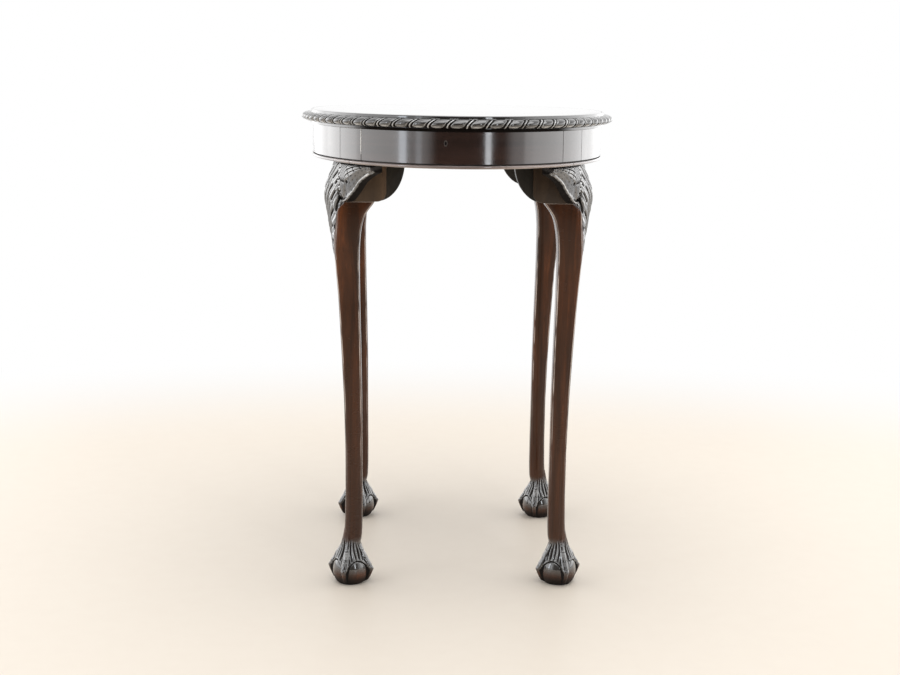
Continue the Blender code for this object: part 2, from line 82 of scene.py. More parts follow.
def blurred(field, passes, wrap):
    # box blur over rows and columns; columns may run round
    for _ in range(passes):
        padded = np.pad(field, ((1, 1), (0, 0)), mode="edge")
        field = (padded[:-2] + padded[1:-1] + padded[2:]) / 3
        padded = np.pad(field, ((0, 0), (1, 1)), mode="wrap" if wrap else "edge")
        field = (padded[:, :-2] + padded[:, 1:-1] + padded[:, 2:]) / 3
    return field


def hollowness(relief, passes, wrap, strength, marks=0.0):
    # 0.5 on plain wood, up to 1 in hollows and down to 0 on crests: painted shade and painted highlights for
    # the finish
    return np.clip(0.5 + (blurred(relief, passes, wrap) - relief) * strength + marks, 0, 1)


def tubeMesh(name, rings, attributes=None):
    # a closed skin over rings of points; each end is shut by a fan
    rings = np.asarray(rings, float) * mm
    rows, count = rings.shape[:2]
    ends = np.stack([rings[0].mean(0), rings[-1].mean(0)])
    points = np.concatenate([rings.reshape(-1, 3), ends])
    i = np.arange(count)
    j = (i + 1) % count
    faces = []
    for row in range(rows - 1):
        a, b = row * count, (row + 1) * count
        faces += np.stack([a + i, a + j, b + j, b + i], 1).tolist()
    first, last = rows * count, rows * count + 1
    faces += np.stack([i, np.full(count, first), j], 1).tolist()
    base = (rows - 1) * count
    faces += np.stack([base + i, base + j, np.full(count, last)], 1).tolist()
    mesh = bpy.data.meshes.new(name)
    mesh.from_pydata(points.tolist(), [], faces)
    for key, values in (attributes or {}).items():
        layer = mesh.attributes.new(key, "FLOAT", "POINT")
        values = np.concatenate([np.asarray(values, float).ravel(), [values[0].mean(), values[-1].mean()]])
        layer.data.foreach_set("value", values.astype(np.float32))
    return turnedOut(mesh)


def turnedOut(mesh):
    bm = bmesh.new()
    bm.from_mesh(mesh)
    bmesh.ops.recalc_face_normals(bm, faces=bm.faces)
    if bm.calc_volume(signed=True) < 0:
        bmesh.ops.reverse_faces(bm, faces=bm.faces)
    bm.to_mesh(mesh)
    bm.free()
    return mesh


def meshFrom(name, bm):
    mesh = bpy.data.meshes.new(name)
    bm.to_mesh(mesh)
    bm.free()
    return mesh


def prismMesh(name, outline, low, high, bevel):
    # a flat outline pushed along the table's length, its edges eased
    bm = bmesh.new()
    near, far = [[bm.verts.new(Vector((x, y, z)) * mm) for x, z in outline] for y in (low, high)]
    bm.faces.new(near)
    bm.faces.new(far[::-1])
    for i in range(len(outline)):
        j = (i + 1) % len(outline)
        bm.faces.new((near[i], far[i], far[j], near[j]))
    bmesh.ops.recalc_face_normals(bm, faces=bm.faces)
    hard = [e for e in bm.edges if e.calc_face_angle(0.0) > math.radians(28)]
    bmesh.ops.bevel(bm, geom=hard, offset=bevel * mm, segments=2, affect="EDGES", profile=0.6)
    return meshFrom(name, bm)


def addObject(name, data):
    made = bpy.data.objects.new(name, data)
    bpy.context.scene.collection.objects.link(made)
    return made


def placePiece(name, mesh, material, nodes, sharp=35):
    mesh.materials.clear()
    mesh.materials.append(material)
    mesh.shade_smooth()
    mesh.set_sharp_from_angle(angle=math.radians(sharp))
    piece = addObject(name, mesh)
    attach(piece, "root")
    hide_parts(*nodes)
    return piece


def placeQuarters(name, mesh, material, nodeName, sharp=35):
    # the piece is modelled at the front right leg and mirrored to the others
    for quarter, side, end in quarters:
        copy = mesh.copy()
        copy.transform(Matrix.Diagonal((side, -end, 1, 1)))
        if side * -end < 0:
            copy.flip_normals()
        placePiece(name + "." + quarter, copy, material, [nodeName + "_" + quarter], sharp)


# node helpers

def link(tree, source, target):
    source = getattr(source, "socket", source)
    if hasattr(source, "node"):
        tree.links.new(source, target)
    else:
        target.default_value = source


def addNode(tree, kind, **inputs):
    node = tree.nodes.new(kind)
    for key, value in inputs.items():
        link(tree, value, node.inputs[key])
    return node


class Field:
    # a value or vector inside a node tree; each sum, ramp or noise adds its node
    def __init__(self, tree, socket):
        self.tree = tree
        self.socket = socket

    def through(self, kind, inputs, output=0, **settings):
        # what comes out of a new node of this kind
        node = self.tree.nodes.new(kind)
        for key, value in settings.items():
            setattr(node, key, value)
        for key, value in inputs.items():
            link(self.tree, value, node.inputs[key])
        return Field(self.tree, node.outputs[output])

    def math(self, operation, *others, clamp=False):
        inputs = dict(enumerate((self, *others)))
        return self.through("ShaderNodeMath", inputs, operation=operation, use_clamp=clamp)

    def __add__(self, other):
        return self.math("ADD", other)

    def __sub__(self, other):
        return self.math("SUBTRACT", other)

    def __rsub__(self, other):
        return self.math("MULTIPLY_ADD", -1.0, other)

    def __mul__(self, other):
        return self.math("MULTIPLY", other)

    def __truediv__(self, other):
        return self.math("DIVIDE", other)

    def clamped(self):
        return self.math("ADD", 0.0, clamp=True)

    def ramp(self, low, high, outLow=0.0, outHigh=1.0):
        inputs = dict(enumerate((self, low, high, outLow, outHigh)))
        return self.through("ShaderNodeMapRange", inputs, interpolation_type="SMOOTHSTEP")

    def mix(self, first, second):
        # from the first colour to the second as this value goes from 0 to 1
        return self.through("ShaderNodeMix", {0: self, 6: first, 7: second}, 2, data_type="RGBA")

    def scaled(self, scale, rotation=(0, 0, 0)):
        return self.through("ShaderNodeMapping", {"Vector": self, "Rotation": rotation, "Scale": scale})

    def noise(self, scale, detail=4.0, roughness=0.55, distortion=0.0):
        inputs = {"Vector": self, "Scale": scale, "Detail": detail, "Roughness": roughness,
                  "Distortion": distortion}
        return self.through("ShaderNodeTexNoise", inputs, "Fac")

    def distance(self, point):
        return self.through("ShaderNodeVectorMath", {0: self, 1: point}, "Value", operation="DISTANCE")

    def curve(self, places, heights):
        # read off a line of straight stretches between the points
        node = self.tree.nodes.new("ShaderNodeFloatCurve")
        points, line = list(zip(places, heights)), node.mapping.curves[0].points
        line[0].location, line[1].location = points[0], points[-1]
        for x, y in points[1:-1]:
            line.new(x, y)
        for point in line:
            point.handle_type = "VECTOR"
        node.mapping.update()
        link(self.tree, self, node.inputs["Value"])
        return Field(self.tree, node.outputs["Value"])


def fieldsOf(tree, sockets):
    return {socket.name: Field(tree, socket) for socket in sockets if socket.name}


def newTree(kind, name, inputs, outputs):
    # the new tree, what goes into it and the sockets that take its results
    tree = bpy.data.node_groups.new(name, kind)
    for label, socketKind, value in inputs:
        socket = tree.interface.new_socket(label, in_out="INPUT", socket_type="NodeSocket" + socketKind)
        if value is not None:
            socket.default_value = value
    for label, socketKind in outputs:
        tree.interface.new_socket(label, in_out="OUTPUT", socket_type="NodeSocket" + socketKind)
    inside = fieldsOf(tree, tree.nodes.new("NodeGroupInput").outputs)
    return tree, inside, tree.nodes.new("NodeGroupOutput").inputs


def useGroup(tree, group, **values):
    node = tree.nodes.new("ShaderNodeGroup")
    node.node_tree = group
    for key, value in values.items():
        link(tree, value, node.inputs[key])
    return fieldsOf(tree, node.outputs)


def attributeValue(tree, name):
    node = tree.nodes.new("ShaderNodeAttribute")
    node.attribute_name = name
    return Field(tree, node.outputs["Fac"])


def newMaterial(name):
    # the material, its tree, its shader's inputs and the object's own coordinates
    material = bpy.data.materials.new(name)
    material.use_nodes = True
    tree = material.node_tree
    place = Field(tree, tree.nodes.new("ShaderNodeTexCoord").outputs["Object"])
    return material, tree, tree.nodes["Principled BSDF"].inputs, place


# shared effects

def makeMahoganyGrain():
    # long fibres, darker bands and short pores, all drawn out along the grain
    tree, inside, outside = newTree("ShaderNodeTree", "mahoganyGrain", (
        ("Stretched", "Vector", None), ("Dark", "Color", (0.02, 0.007, 0.004, 1)),
        ("Middle", "Color", (0.06, 0.02, 0.01, 1)), ("Light", "Color", (0.16, 0.06, 0.03, 1)),
        ("Streaks", "Float", 0.5)), (("Colour", "Color"), ("Pores", "Float")))
    stretched = inside["Stretched"]
    bands = stretched.noise(1.0, 5.0, 0.6, 0.8)
    fibres = stretched.scaled((4.6, 4.6, 4.6)).noise(1.6, 3.0, 0.7)
    pores = stretched.scaled((9, 9, 9)).noise(2.4, 2.0, 0.5).ramp(0.60, 0.72)
    body = bands.ramp(0.34, 0.66).mix(inside["Dark"], inside["Middle"])
    streak = (bands.ramp(0.54, 0.74) * fibres.ramp(0.35, 0.7) * inside["Streaks"]).clamped()
    body = streak.mix(body, inside["Light"])
    link(tree, (pores * 0.55).mix(body, inside["Dark"]), outside["Colour"])
    link(tree, pores, outside["Pores"])
    return tree


def makeWearAndPaintedShade():
    # worn arrises get paler, crests get a painted highlight, and hollows hold dark old wax and painted shade
    tree, inside, outside = newTree("ShaderNodeTree", "wearAndPaintedShade", (
        ("Base", "Color", (0.1, 0.03, 0.02, 1)), ("Hollow", "Float", 0.5), ("Wear", "Float", 0.0),
        ("Worn", "Color", (0.32, 0.16, 0.11, 1)), ("WaxAndShade", "Color", (0.006, 0.004, 0.003, 1)),
        ("Place", "Vector", None)), (("Colour", "Color"), ("Roughness", "Float"), ("Gloss", "Float")))
    patches = inside["Place"].noise(26.0, 1.6, 0.5)
    # painted highlight: crests take the pale colour
    crest = inside["Hollow"].ramp(0.36, 0.06) * patches.ramp(0.34, 0.62, 0.30, 0.95)
    paleWearAndHighlight = (inside["Wear"] * patches.ramp(0.32, 0.62)).math("MAXIMUM", crest)
    # hollows take the dark colour: old wax and painted shade
    deep = inside["Hollow"].ramp(0.54, 0.78)
    colour = paleWearAndHighlight.mix(inside["Base"], inside["Worn"])
    link(tree, deep.mix(colour, inside["WaxAndShade"]), outside["Colour"])
    link(tree, deep * 0.55 + paleWearAndHighlight * 0.08, outside["Roughness"])
    link(tree, (1.0 - deep).clamped(), outside["Gloss"])
    return tree


def makePolish():
    # old hand polish: cloudy gloss, fine scratches and a slightly uneven surface
    tree, inside, outside = newTree("ShaderNodeTree", "oldPolish", (
        ("Place", "Vector", None), ("Low", "Float", 0.1), ("High", "Float", 0.3), ("Pores", "Float", 0.0),
        ("Ridges", "Float", 0.0)), (("Roughness", "Float"), ("Height", "Float")))
    place = inside["Place"]
    smears = place.scaled((40, 40, 90), (0.3, 0.5, 0.2)).noise(1.0, 3.0, 0.6)
    cloudy = place.noise(9.0, 5.0, 0.6).ramp(0.35, 0.7) * smears.ramp(0.2, 0.8, 0.4, 1.0)
    link(tree, cloudy * (inside["High"] - inside["Low"]) + inside["Low"], outside["Roughness"])
    waves = place.noise(14.0, 2.0, 0.5) * 0.7
    lines = place.scaled((9, 9, 620)).noise(1.0, 3.0, 0.6) * inside["Ridges"]
    link(tree, waves - inside["Pores"] * 0.05 + lines, outside["Height"])
    return tree


grainGroup = makeMahoganyGrain()
wearAndShadeGroup = makeWearAndPaintedShade()
polishGroup = makePolish()


def opaque(colour):
    return (*colour, 1)


# what a finish has when its own row says nothing else
plainLook = {"streaks": 0.5, "bump": 0.2, "ridges": 0.0, "coat": 0.0, "coatRough": 0.08, "coatIor": 1.5,
             "shine": 0.5, "cloud": 0.0, "wornAndShaded": False, "paleWearAndHighlight": (0.3, 0.2, 0.15), "carved": None,
             "nick": None}


def makeWood(name, look):
    # one finish of the table: grain, wear with painted shade and highlights, polish and a fine bump
    look = {**plainLook, **look}
    material, tree, shader, place = newMaterial(name)
    dark, paleWearAndHighlight, coat = opaque(look["dark"]), opaque(look["paleWearAndHighlight"]), look["coat"]
    grain = useGroup(tree, grainGroup, Stretched=place.scaled(look["stretch"]), Dark=dark,
                     Middle=opaque(look["middle"]), Light=opaque(look["light"]), Streaks=look["streaks"])
    colour = grain["Colour"]
    if look["cloud"]:
        colour = place.noise(look["cloud"], 3.0).ramp(0.3, 0.75, 0.0, 0.65).mix(colour, dark)
    polish = useGroup(tree, polishGroup, Place=place, Low=look["gloss"][0], High=look["gloss"][1],
                      Pores=grain["Pores"], Ridges=look["ridges"])
    rough = polish["Roughness"]
    if look["carved"]:
        carved = attributeValue(tree, "carved")
        coat = carved * look["carvedCoat"] + coat
        colour = carved.mix(colour, opaque(look["carved"]))
        # carved parts paint their crests in the crest colour, a painted highlight
        paleWearAndHighlight = carved.mix(paleWearAndHighlight, opaque(look["crest"]))
    if look["nick"]:
        # one small chip in the veneer with a pale edge
        away = place.scaled((1, 1, 0.6)).distance(look["nick"])
        colour = away.ramp(0.0027, 0.0021, 0.0, 0.15).mix(colour, paleWearAndHighlight)
        colour = away.ramp(0.0021, 0.0016).mix(colour, (0.003, 0.002, 0.002, 1))
    if look["wornAndShaded"]:
        wornAndShaded = useGroup(tree, wearAndShadeGroup, Base=colour, Hollow=attributeValue(tree, "hollow"),
                           Wear=attributeValue(tree, "wear"), Worn=paleWearAndHighlight, Place=place)
        colour = wornAndShaded["Colour"]
        rough = rough + wornAndShaded["Roughness"]
        coat = (wornAndShaded["Gloss"] * coat).clamped()
    bump = addNode(tree, "ShaderNodeBump", Strength=look["bump"], Distance=0.0006, Height=polish["Height"])
    for key, value in (("Base Color", colour), ("Roughness", rough), ("Normal", bump.outputs["Normal"]),
                       ("Specular IOR Level", look["shine"]), ("Coat Weight", coat),
                       ("Coat Roughness", look["coatRough"]), ("Coat IOR", look["coatIor"])):
        link(tree, value, shader[key])
    return material


# shared by the carved pieces: even grain and a dark gloss; the pale colour on their crests is a painted
# highlight
carvedLook = {"stretch": (40, 40, 40), "bump": 0.14, "coatIor": 1.9, "gloss": (0.10, 0.26), "wornAndShaded": True}
woods = {
    "topVeneer": {"stretch": (34, 2.2, 34), "dark": (0.018, 0.006, 0.004), "middle": (0.055, 0.017, 0.009),
                  "light": (0.13, 0.045, 0.022), "streaks": 0.6, "gloss": (0.05, 0.12), "coat": 1.0,
                  "coatRough": 0.03, "bump": 0.03, "cloud": 5.0, "wornAndShaded": True},
    "apronVeneer": {"stretch": (2.4, 2.4, 70), "dark": (0.020, 0.011, 0.0085),
                    "middle": (0.046, 0.024, 0.0185), "light": (0.100, 0.050, 0.036), "streaks": 0.45,
                    "gloss": (0.12, 0.26), "coat": 1.0, "coatRough": 0.10, "shine": 0.7, "bump": 0.22,
                    "ridges": 0.22, "cloud": 7.0, "wornAndShaded": True, "paleWearAndHighlight": (0.80, 0.78, 0.74),
                    "nick": (-0.0262, -0.3607, 0.4195)},
    "lipMahogany": {**carvedLook, "dark": (0.010, 0.006, 0.005), "middle": (0.022, 0.014, 0.011),
                    "light": (0.05, 0.034, 0.028), "streaks": 0.3, "gloss": (0.20, 0.34), "coat": 1.0,
                    "coatIor": 1.8, "shine": 0.08, "paleWearAndHighlight": (0.60, 0.59, 0.57)},
    "legMahogany": {"stretch": (46, 46, 2.6), "dark": (0.040, 0.0155, 0.0070),
                    "middle": (0.104, 0.035, 0.0135), "light": (0.31, 0.090, 0.024), "streaks": 0.75,
                    "gloss": (0.16, 0.34), "bump": 0.25, "coat": 0.08, "coatIor": 1.9, "shine": 0.24,
                    "wornAndShaded": True, "paleWearAndHighlight": (0.68, 0.58, 0.51), "cloud": 6.0,
                    # carved parts: the crest colour is a painted highlight
                    "carved": (0.046, 0.043, 0.041), "crest": (0.72, 0.72, 0.71), "carvedCoat": 1.0},
    # darker copy of the carved finish: painted shade over the edge
    "edgeMahogany": {**carvedLook, "dark": (0.011, 0.009, 0.0085), "middle": (0.024, 0.021, 0.020),
                     "light": (0.055, 0.047, 0.043), "streaks": 0.4, "coat": 0.9, "shine": 0.12,
                     "paleWearAndHighlight": (0.66, 0.66, 0.65)},
    "carvedMahogany": {**carvedLook, "dark": (0.030, 0.027, 0.026), "middle": (0.066, 0.062, 0.061),
                       "light": (0.14, 0.130, 0.126), "streaks": 0.4, "coat": 1.0, "shine": 0.14,
                       "paleWearAndHighlight": (0.72, 0.72, 0.71)},
    # the bead's pale colour is a painted highlight on the mahogany
    "beadMahogany": {"stretch": (3, 3, 90), "dark": (0.10, 0.064, 0.054), "middle": (0.32, 0.25, 0.225),
                     "light": (0.60, 0.53, 0.49), "streaks": 0.9, "gloss": (0.10, 0.22), "coat": 1.0,
                     "shine": 0.7, "wornAndShaded": True},
    "cheekMahogany": {"stretch": (26, 26, 3.2), "dark": (0.046, 0.029, 0.018),
                      "middle": (0.128, 0.080, 0.045), "light": (0.26, 0.150, 0.080),
                      "gloss": (0.34, 0.5), "bump": 0.25, "shine": 0.35, "cloud": 8.0},
    # darker copy of the cheeks' finish: painted shade on the bracket under the apron
    "bracketMahogany": {"stretch": (26, 26, 3.2), "dark": (0.014, 0.012, 0.009),
                        "middle": (0.042, 0.035, 0.026), "light": (0.11, 0.090, 0.066), "streaks": 0.6,
                        "gloss": (0.34, 0.5), "bump": 0.3, "shine": 0.3, "cloud": 8.0},
    "insideWood": {"stretch": (3.0, 60, 60), "dark": (0.07, 0.038, 0.020), "middle": (0.17, 0.095, 0.05),
                   "light": (0.30, 0.19, 0.11), "streaks": 0.6, "gloss": (0.55, 0.75), "bump": 0.5},
    "blockWood": {"stretch": (20, 20, 60), "dark": (0.10, 0.06, 0.032), "middle": (0.22, 0.13, 0.07),
                  "light": (0.36, 0.24, 0.14), "streaks": 0.6, "gloss": (0.6, 0.8), "bump": 0.5},
}
finish = {name: makeWood(name, look) for name, look in woods.items()}


def makeScrewIron():
    material, tree, shader, place = newMaterial("screwIron")
    rust = place.noise(900.0, 5.0, 0.65).ramp(0.45, 0.65)
    link(tree, rust.mix((0.30, 0.29, 0.28, 1), (0.12, 0.045, 0.02, 1)), shader["Base Color"])
    link(tree, (1.0 - rust).clamped(), shader["Metallic"])
    link(tree, rust.ramp(0.0, 1.0, 0.38, 0.85), shader["Roughness"])
    return material


finish["screwIron"] = makeScrewIron()
print("finishes made:", len(finish))


# geometry node helpers

def newGeometryTree(name, inputs):
    geometry = (("Geometry", "Geometry", None),)
    return newTree("GeometryNodeTree", name, geometry + inputs, (("Geometry", "Geometry"),))


def finishTree(tree, geometry, material, outside):
    real = addNode(tree, "GeometryNodeRealizeInstances", Geometry=geometry)
    painted = addNode(tree, "GeometryNodeSetMaterial", Geometry=real.outputs[0], Material=material)
    link(tree, painted.outputs[0], outside["Geometry"])


def runTree(tree, values):
    # gives the tree's inputs by identifier, evaluates it once and keeps a plain mesh
    seed = bpy.data.meshes.new("seed")
    seed.from_pydata([(0, 0, 0)], [], [])
    holder = addObject("holder", seed)
    modifier = holder.modifiers.new("tree", "NODES")
    modifier.node_group = tree
    for item in tree.interface.items_tree:
        if item.in_out == "INPUT" and item.name in values:
            modifier[item.identifier] = values[item.name]
    graph = bpy.context.evaluated_depsgraph_get()
    graph.update()
    mesh = bpy.data.meshes.new_from_object(holder.evaluated_get(graph), preserve_all_data_layers=True,
                                           depsgraph=graph)
    holder.modifiers.remove(modifier)
    bpy.data.objects.remove(holder, do_unlink=True)
    return mesh


# carved edge

edge = {
    "lobes": 72,              # round the whole top
    "columnsPerLobe": 30,
    "rows": 37,
    "reach": 18.0,            # past the apron's outline
    "low": 719.9,
    "high": 737.0,
    "back": 0.3,              # reach of the glued side
    "flat": 3.0,              # width of the flat rim inside the carving
    "lobeRoot": 5.0,          # reach where the lobes start to swell
    "filletFoot": 733.0,
    "grooveDepth": 3.1,
    "lean": 17.0,             # tops lean this far along the edge
    # turn of the lobe's section in degrees, how deep the grooves go there
    "swell": ((88, 0.35), (68, 0.75), (48, 1.0), (28, 1.0), (8, 1.0), (-12, 1.0), (-34, 0.95), (-62, 0.75)),
    "swellShares": (0.27, 0.57),     # where the lobes start round the section, and how much of it they take
    # one repeat of the pattern, in shares of its width: middle and half width
    "lobe": (0.59, 0.325), "ridge": (0.095, 0.062),
    "lobeSpread": 0.08, "ridgeHeight": 0.72,
    "lobeFoot": (0.52, 0.56),        # how far down the lobe it starts to round off, over what length
    "pinch": (0.4, 0.9),             # the grooves draw in towards this share of the height, this much
    "pathShare": 0.64, "pathReach": 11.5,    # the true length is taken here
    "jointGap": 0.015, "endReach": 0.12, "endLean": 0.35,      # where two lengths of the edge meet
    # painted highlights: height on the lobe or ridge, sharpness; how far down the crescent starts, its rise,
    # strength
    "outlineHighlight": (0.52, 3.4), "ridgeHighlight": (0.34, 3.0), "crescentHighlight": (0.74, 0.10, 0.7),
    "shades": (0.43, 0.5, 0.55),     # plain wood, how much darker the painted shade in grooves is and how much paler the painted highlights are
}


def edgeSection():
    # how far round, reach and height of the section, how deep the grooves go
    flat, high, low, back = edge["flat"], edge["high"], edge["low"], edge["back"]
    fillet, root = edge["filletFoot"], edge["lobeRoot"]
    section = [(0.0, back, high, 0.0), (0.10, flat - 0.4, high, 0.0), (0.14, flat + 0.1, high - 0.5, 0.0),
               (0.23, flat + 0.6, fillet, 0.0)]
    middle = (fillet + low - 1.0) / 2
    first, share = edge["swellShares"]
    for i, (turn, cut) in enumerate(edge["swell"]):
        outward, upward = math.cos(math.radians(turn)), math.sin(math.radians(turn))
        section.append((first + share * i / (len(edge["swell"]) - 1), root + (edge["reach"] - root) * outward,
                        middle + (fillet - middle) * upward, cut))
    return section + [(0.92, back, low, 0.0), (1.0, back, high, 0.0)]


def makeEdgeTree():
    tree, inside, outside = newGeometryTree("gadroonedEdge", (
        ("Half Width", "Float", 0.232), ("Half Length", "Float", 0.363), ("Start", "Float", 0.0),
        ("Share", "Float", 0.25), ("Gap", "Float", 0.0001), ("Lobes", "Int", 18), ("Columns", "Int", 500),
        ("Rows", "Int", 37), ("Reach", "Float", 0.018), ("Low", "Float", 0.72), ("High", "Float", 0.737),
        ("Groove", "Float", 0.003), ("Lean Share", "Float", 0.01), ("Material", "Material", None)))

    def parts(vector):
        # the X and Y of a vector
        node = addNode(tree, "ShaderNodeSeparateXYZ", Vector=vector)
        return Field(tree, node.outputs["X"]), Field(tree, node.outputs["Y"])

    def dome(squares):
        # height of a round back whose sides fall away with the squares
        return (1.0 - squares).math("MAXIMUM", 0.0).math("SQRT")

    # a flat sheet of columns along the edge and rows round its section
    sheet = addNode(tree, "GeometryNodeMeshGrid", **{
        "Size X": 1.0, "Size Y": 1.0, "Vertices X": inside["Columns"], "Vertices Y": inside["Rows"]})
    sheetX, sheetY = parts(tree.nodes.new("GeometryNodeInputPosition").outputs[0])
    columns = inside["Columns"]
    rawAlong = (sheetX + 0.5) * (columns - 1.0)
    along = ((rawAlong - 1.0) / (columns - 3.0)).clamped()
    turned = sheetY + 0.5
    # the first and last columns draw in to a point and shut the ends
    inner = rawAlong.math("COMPARE", 0.0, 0.25) + rawAlong.math("COMPARE", columns - 1.0, 0.25)

    places, reaches, heights, cuts = np.array(edgeSection()).T
    reachShare = turned.curve(places, reaches / edge["reach"])
    heightShare = turned.curve(places, (heights - edge["low"]) / (edge["high"] - edge["low"]))
    cutShare = turned.curve(places, cuts)

    # one repeat: groove, thin ridge, groove, broad lobe with a round foot
    phase = (along * inside["Lobes"]).math("FRACT")
    first, share = edge["swellShares"]
    down = ((turned - first) / share).clamped()
    middle, half = edge["lobe"]
    across = (phase - middle) / down.math("MULTIPLY_ADD", edge["lobeSpread"], half)
    footStart, footLength = edge["lobeFoot"]
    rounding = ((down - footStart) / footLength).clamped()
    lobe = dome(across * across + rounding * rounding * rounding)
    middle, half = edge["ridge"]
    across = (phase - middle) / half
    ridge = dome(across * across) * edge["ridgeHeight"]
    sunk = (1.0 - lobe.math("MAXIMUM", ridge)) * cutShare
    reach = reachShare * inside["Reach"] - sunk * inside["Groove"]
    pinchHeight, pinch = edge["pinch"]
    lift = (heightShare - pinchHeight) * sunk * inside["Groove"] * -pinch
    height = heightShare * (inside["High"] - inside["Low"]) + inside["Low"] + lift
    reach = reach + (inside["Reach"] * edge["endReach"] - reach) * inner
    height = height + ((inside["High"] + inside["Low"]) * 0.5 - height) * inner

    # walk along the oval by true length; the face leans, the back stands upright
    circle = addNode(tree, "GeometryNodeCurvePrimitiveCircle", Resolution=720, Radius=1.0)
    circleX, circleY = parts(tree.nodes.new("GeometryNodeInputPosition").outputs[0])
    wide = inside["Half Width"] + inside["Reach"] * edge["pathShare"]
    long = inside["Half Length"] + inside["Reach"] * edge["pathShare"]
    bent = addNode(tree, "ShaderNodeCombineXYZ", X=circleY * wide, Y=circleX * long * -1.0)
    path = addNode(tree, "GeometryNodeSetPosition", Geometry=circle.outputs[0], Position=bent.outputs[0])
    outer = cutShare.math("GREATER_THAN", 0.01).math("MAXIMUM", (reachShare * 4.0).clamped())
    leaning = heightShare * heightShare * outer
    leaning = (leaning + (edge["endLean"] - leaning) * inner) * inside["Lean Share"]
    walk = (inside["Share"] - inside["Gap"] * 2.0) * along + inside["Gap"] + inside["Start"] + leaning
    sample = tree.nodes.new("GeometryNodeSampleCurve")
    sample.mode = "FACTOR"
    link(tree, path.outputs[0], sample.inputs["Curves"])
    link(tree, walk.math("FRACT"), sample.inputs["Factor"])
    foundX, foundY = parts(sample.outputs["Position"])
    final = addNode(tree, "ShaderNodeCombineXYZ", X=foundX / wide * (inside["Half Width"] + reach),
                    Y=foundY / long * (inside["Half Length"] + reach), Z=height)

    # painted highlights on the outlines and feet of the lobes, painted shade in the grooves
    level, sharpness = edge["outlineHighlight"]
    outline = (1.0 - (lobe - level).math("ABSOLUTE") * sharpness).clamped()
    level, sharpness = edge["ridgeHighlight"]
    arris = ((ridge - level) * sharpness).clamped()
    start, rise, strength = edge["crescentHighlight"]
    crescent = ((down - start) / rise).clamped() * (lobe * 4.0 - 0.6).clamped() * strength
    paleWearAndHighlight = outline.math("MAXIMUM", arris).math("MAXIMUM", crescent) * cutShare
    plain, darker, paler = edge["shades"]
    kept = tree.nodes.new("GeometryNodeStoreNamedAttribute")
    kept.data_type = "FLOAT"
    kept.domain = "POINT"
    link(tree, sheet.outputs["Mesh"], kept.inputs["Geometry"])
    link(tree, "hollow", kept.inputs["Name"])
    link(tree, sunk * darker + plain - paleWearAndHighlight * paler, kept.inputs["Value"])
    placed = addNode(tree, "GeometryNodeSetPosition", Geometry=kept.outputs[0], Position=final.outputs[0])
    merged = addNode(tree, "GeometryNodeMergeByDistance", Geometry=placed.outputs[0], Distance=0.00002)
    finishTree(tree, merged.outputs[0], inside["Material"], outside)
    return tree


edgeTree = makeEdgeTree()
lobesEach = edge["lobes"] // 4
rimLength = math.tau * math.hypot(oval["halfX"] + edge["pathReach"],
                                  oval["halfY"] + edge["pathReach"]) / math.sqrt(2)
for name, first in (("edge_right", 0), ("edge_back", 1), ("edge_left", 2), ("edge_front", 3)):
    mesh = runTree(edgeTree, {
        "Half Width": oval["halfX"] * mm, "Half Length": oval["halfY"] * mm,
        "Start": (first + 0.5) / 4, "Share": 0.25, "Gap": edge["jointGap"] / rimLength,
        "Lobes": lobesEach, "Columns": lobesEach * edge["columnsPerLobe"] + 3, "Rows": edge["rows"],
        "Reach": edge["reach"] * mm, "Low": edge["low"] * mm, "High": edge["high"] * mm,
        "Groove": edge["grooveDepth"] * mm, "Lean Share": edge["lean"] / rimLength,
        "Material": finish["edgeMahogany"]})
    turnedOut(mesh)
    placePiece("carvedEdge." + name[5:], mesh, finish["edgeMahogany"], [name], 50)
print("carved edge made")


# top board

board = {
    "around": 300, "lipReach": 4.0, "lipTop": 719.6, "ease": 0.35,
    "fan": -210.0, "under": -60.0, "face": -20.0,       # reach of the rings inside the outline
    "lipRings": (2, 6),        # between these rings the board is carved wood
    "shadedEnds": (0.38, 0.80),       # from full painted shade to none, as shares of the half width
}


def makeTopBoard():
    turns = np.linspace(0, math.tau, board["around"], endpoint=False)
    bottom, top, soft = oval["boardBottom"], oval["top"], board["ease"]
    lip, lipTop = board["lipReach"], board["lipTop"]
    profile = ((board["fan"], bottom), (board["under"], bottom), (lip - soft, bottom), (lip, bottom + soft),
               (lip, lipTop - soft), (lip - soft, lipTop), (0, lipTop), (0, top - soft),
               (-0.3 * soft, top - 0.3 * soft), (-soft, top), (board["face"], top), (board["fan"], top))
    rings = [ovalPoints(turns, reach, z) for reach, z in profile]
    # painted shade under the edge at the two ends
    shade = 0.5 + 0.5 * (1 - ease(np.abs(np.sin(turns)), *board["shadedEnds"]))
    hollow = np.array([shade if 0 < reach else np.full(board["around"], 0.5) for reach, z in profile])
    return tubeMesh("topBoard", rings, {"hollow": hollow, "wear": np.zeros((len(profile), board["around"]))})


topBoard = placePiece("topBoard", makeTopBoard(), finish["topVeneer"], ["top_board"], 40)
# the lip under the carved edge takes a dark, dull finish; its hollow marks paint shade at the two ends
topBoard.data.materials.append(finish["lipMahogany"])
first, last = board["lipRings"]
for face in topBoard.data.polygons[first * board["around"]:last * board["around"]]:
    face.material_index = 1
print("top board made")


# apron and bead

apron = {
    "low": 669.9, "high": 715.4,
    "railThickness": 20.0, "cornerThickness": 32.0,
    "nearSeam": math.asin(0.63), "farSeam": math.asin(0.77),
    "chamfer": 0.45,          # eased ends make the seams read
    "stepsPerTurn": 220,
    "ease": 0.4,              # long edges of the rails
    "beadLow": 663.6, "beadHigh": 669.6, "beadReach": 1.8, "beadDepth": 20.0, "beadCentre": -0.9,
    "beadEase": 0.55,
    "quirk": (-1.9, 1.1),     # reach and depth of the step above the bead
    "paleEnd": "corner_block_front_left",      # its seam shows bare wood
    "paleWidth": 3.6, "paleAbove": 680.0, "paleWear": 4.0, "seamWax": 0.8, "beadShade": 0.95,
}


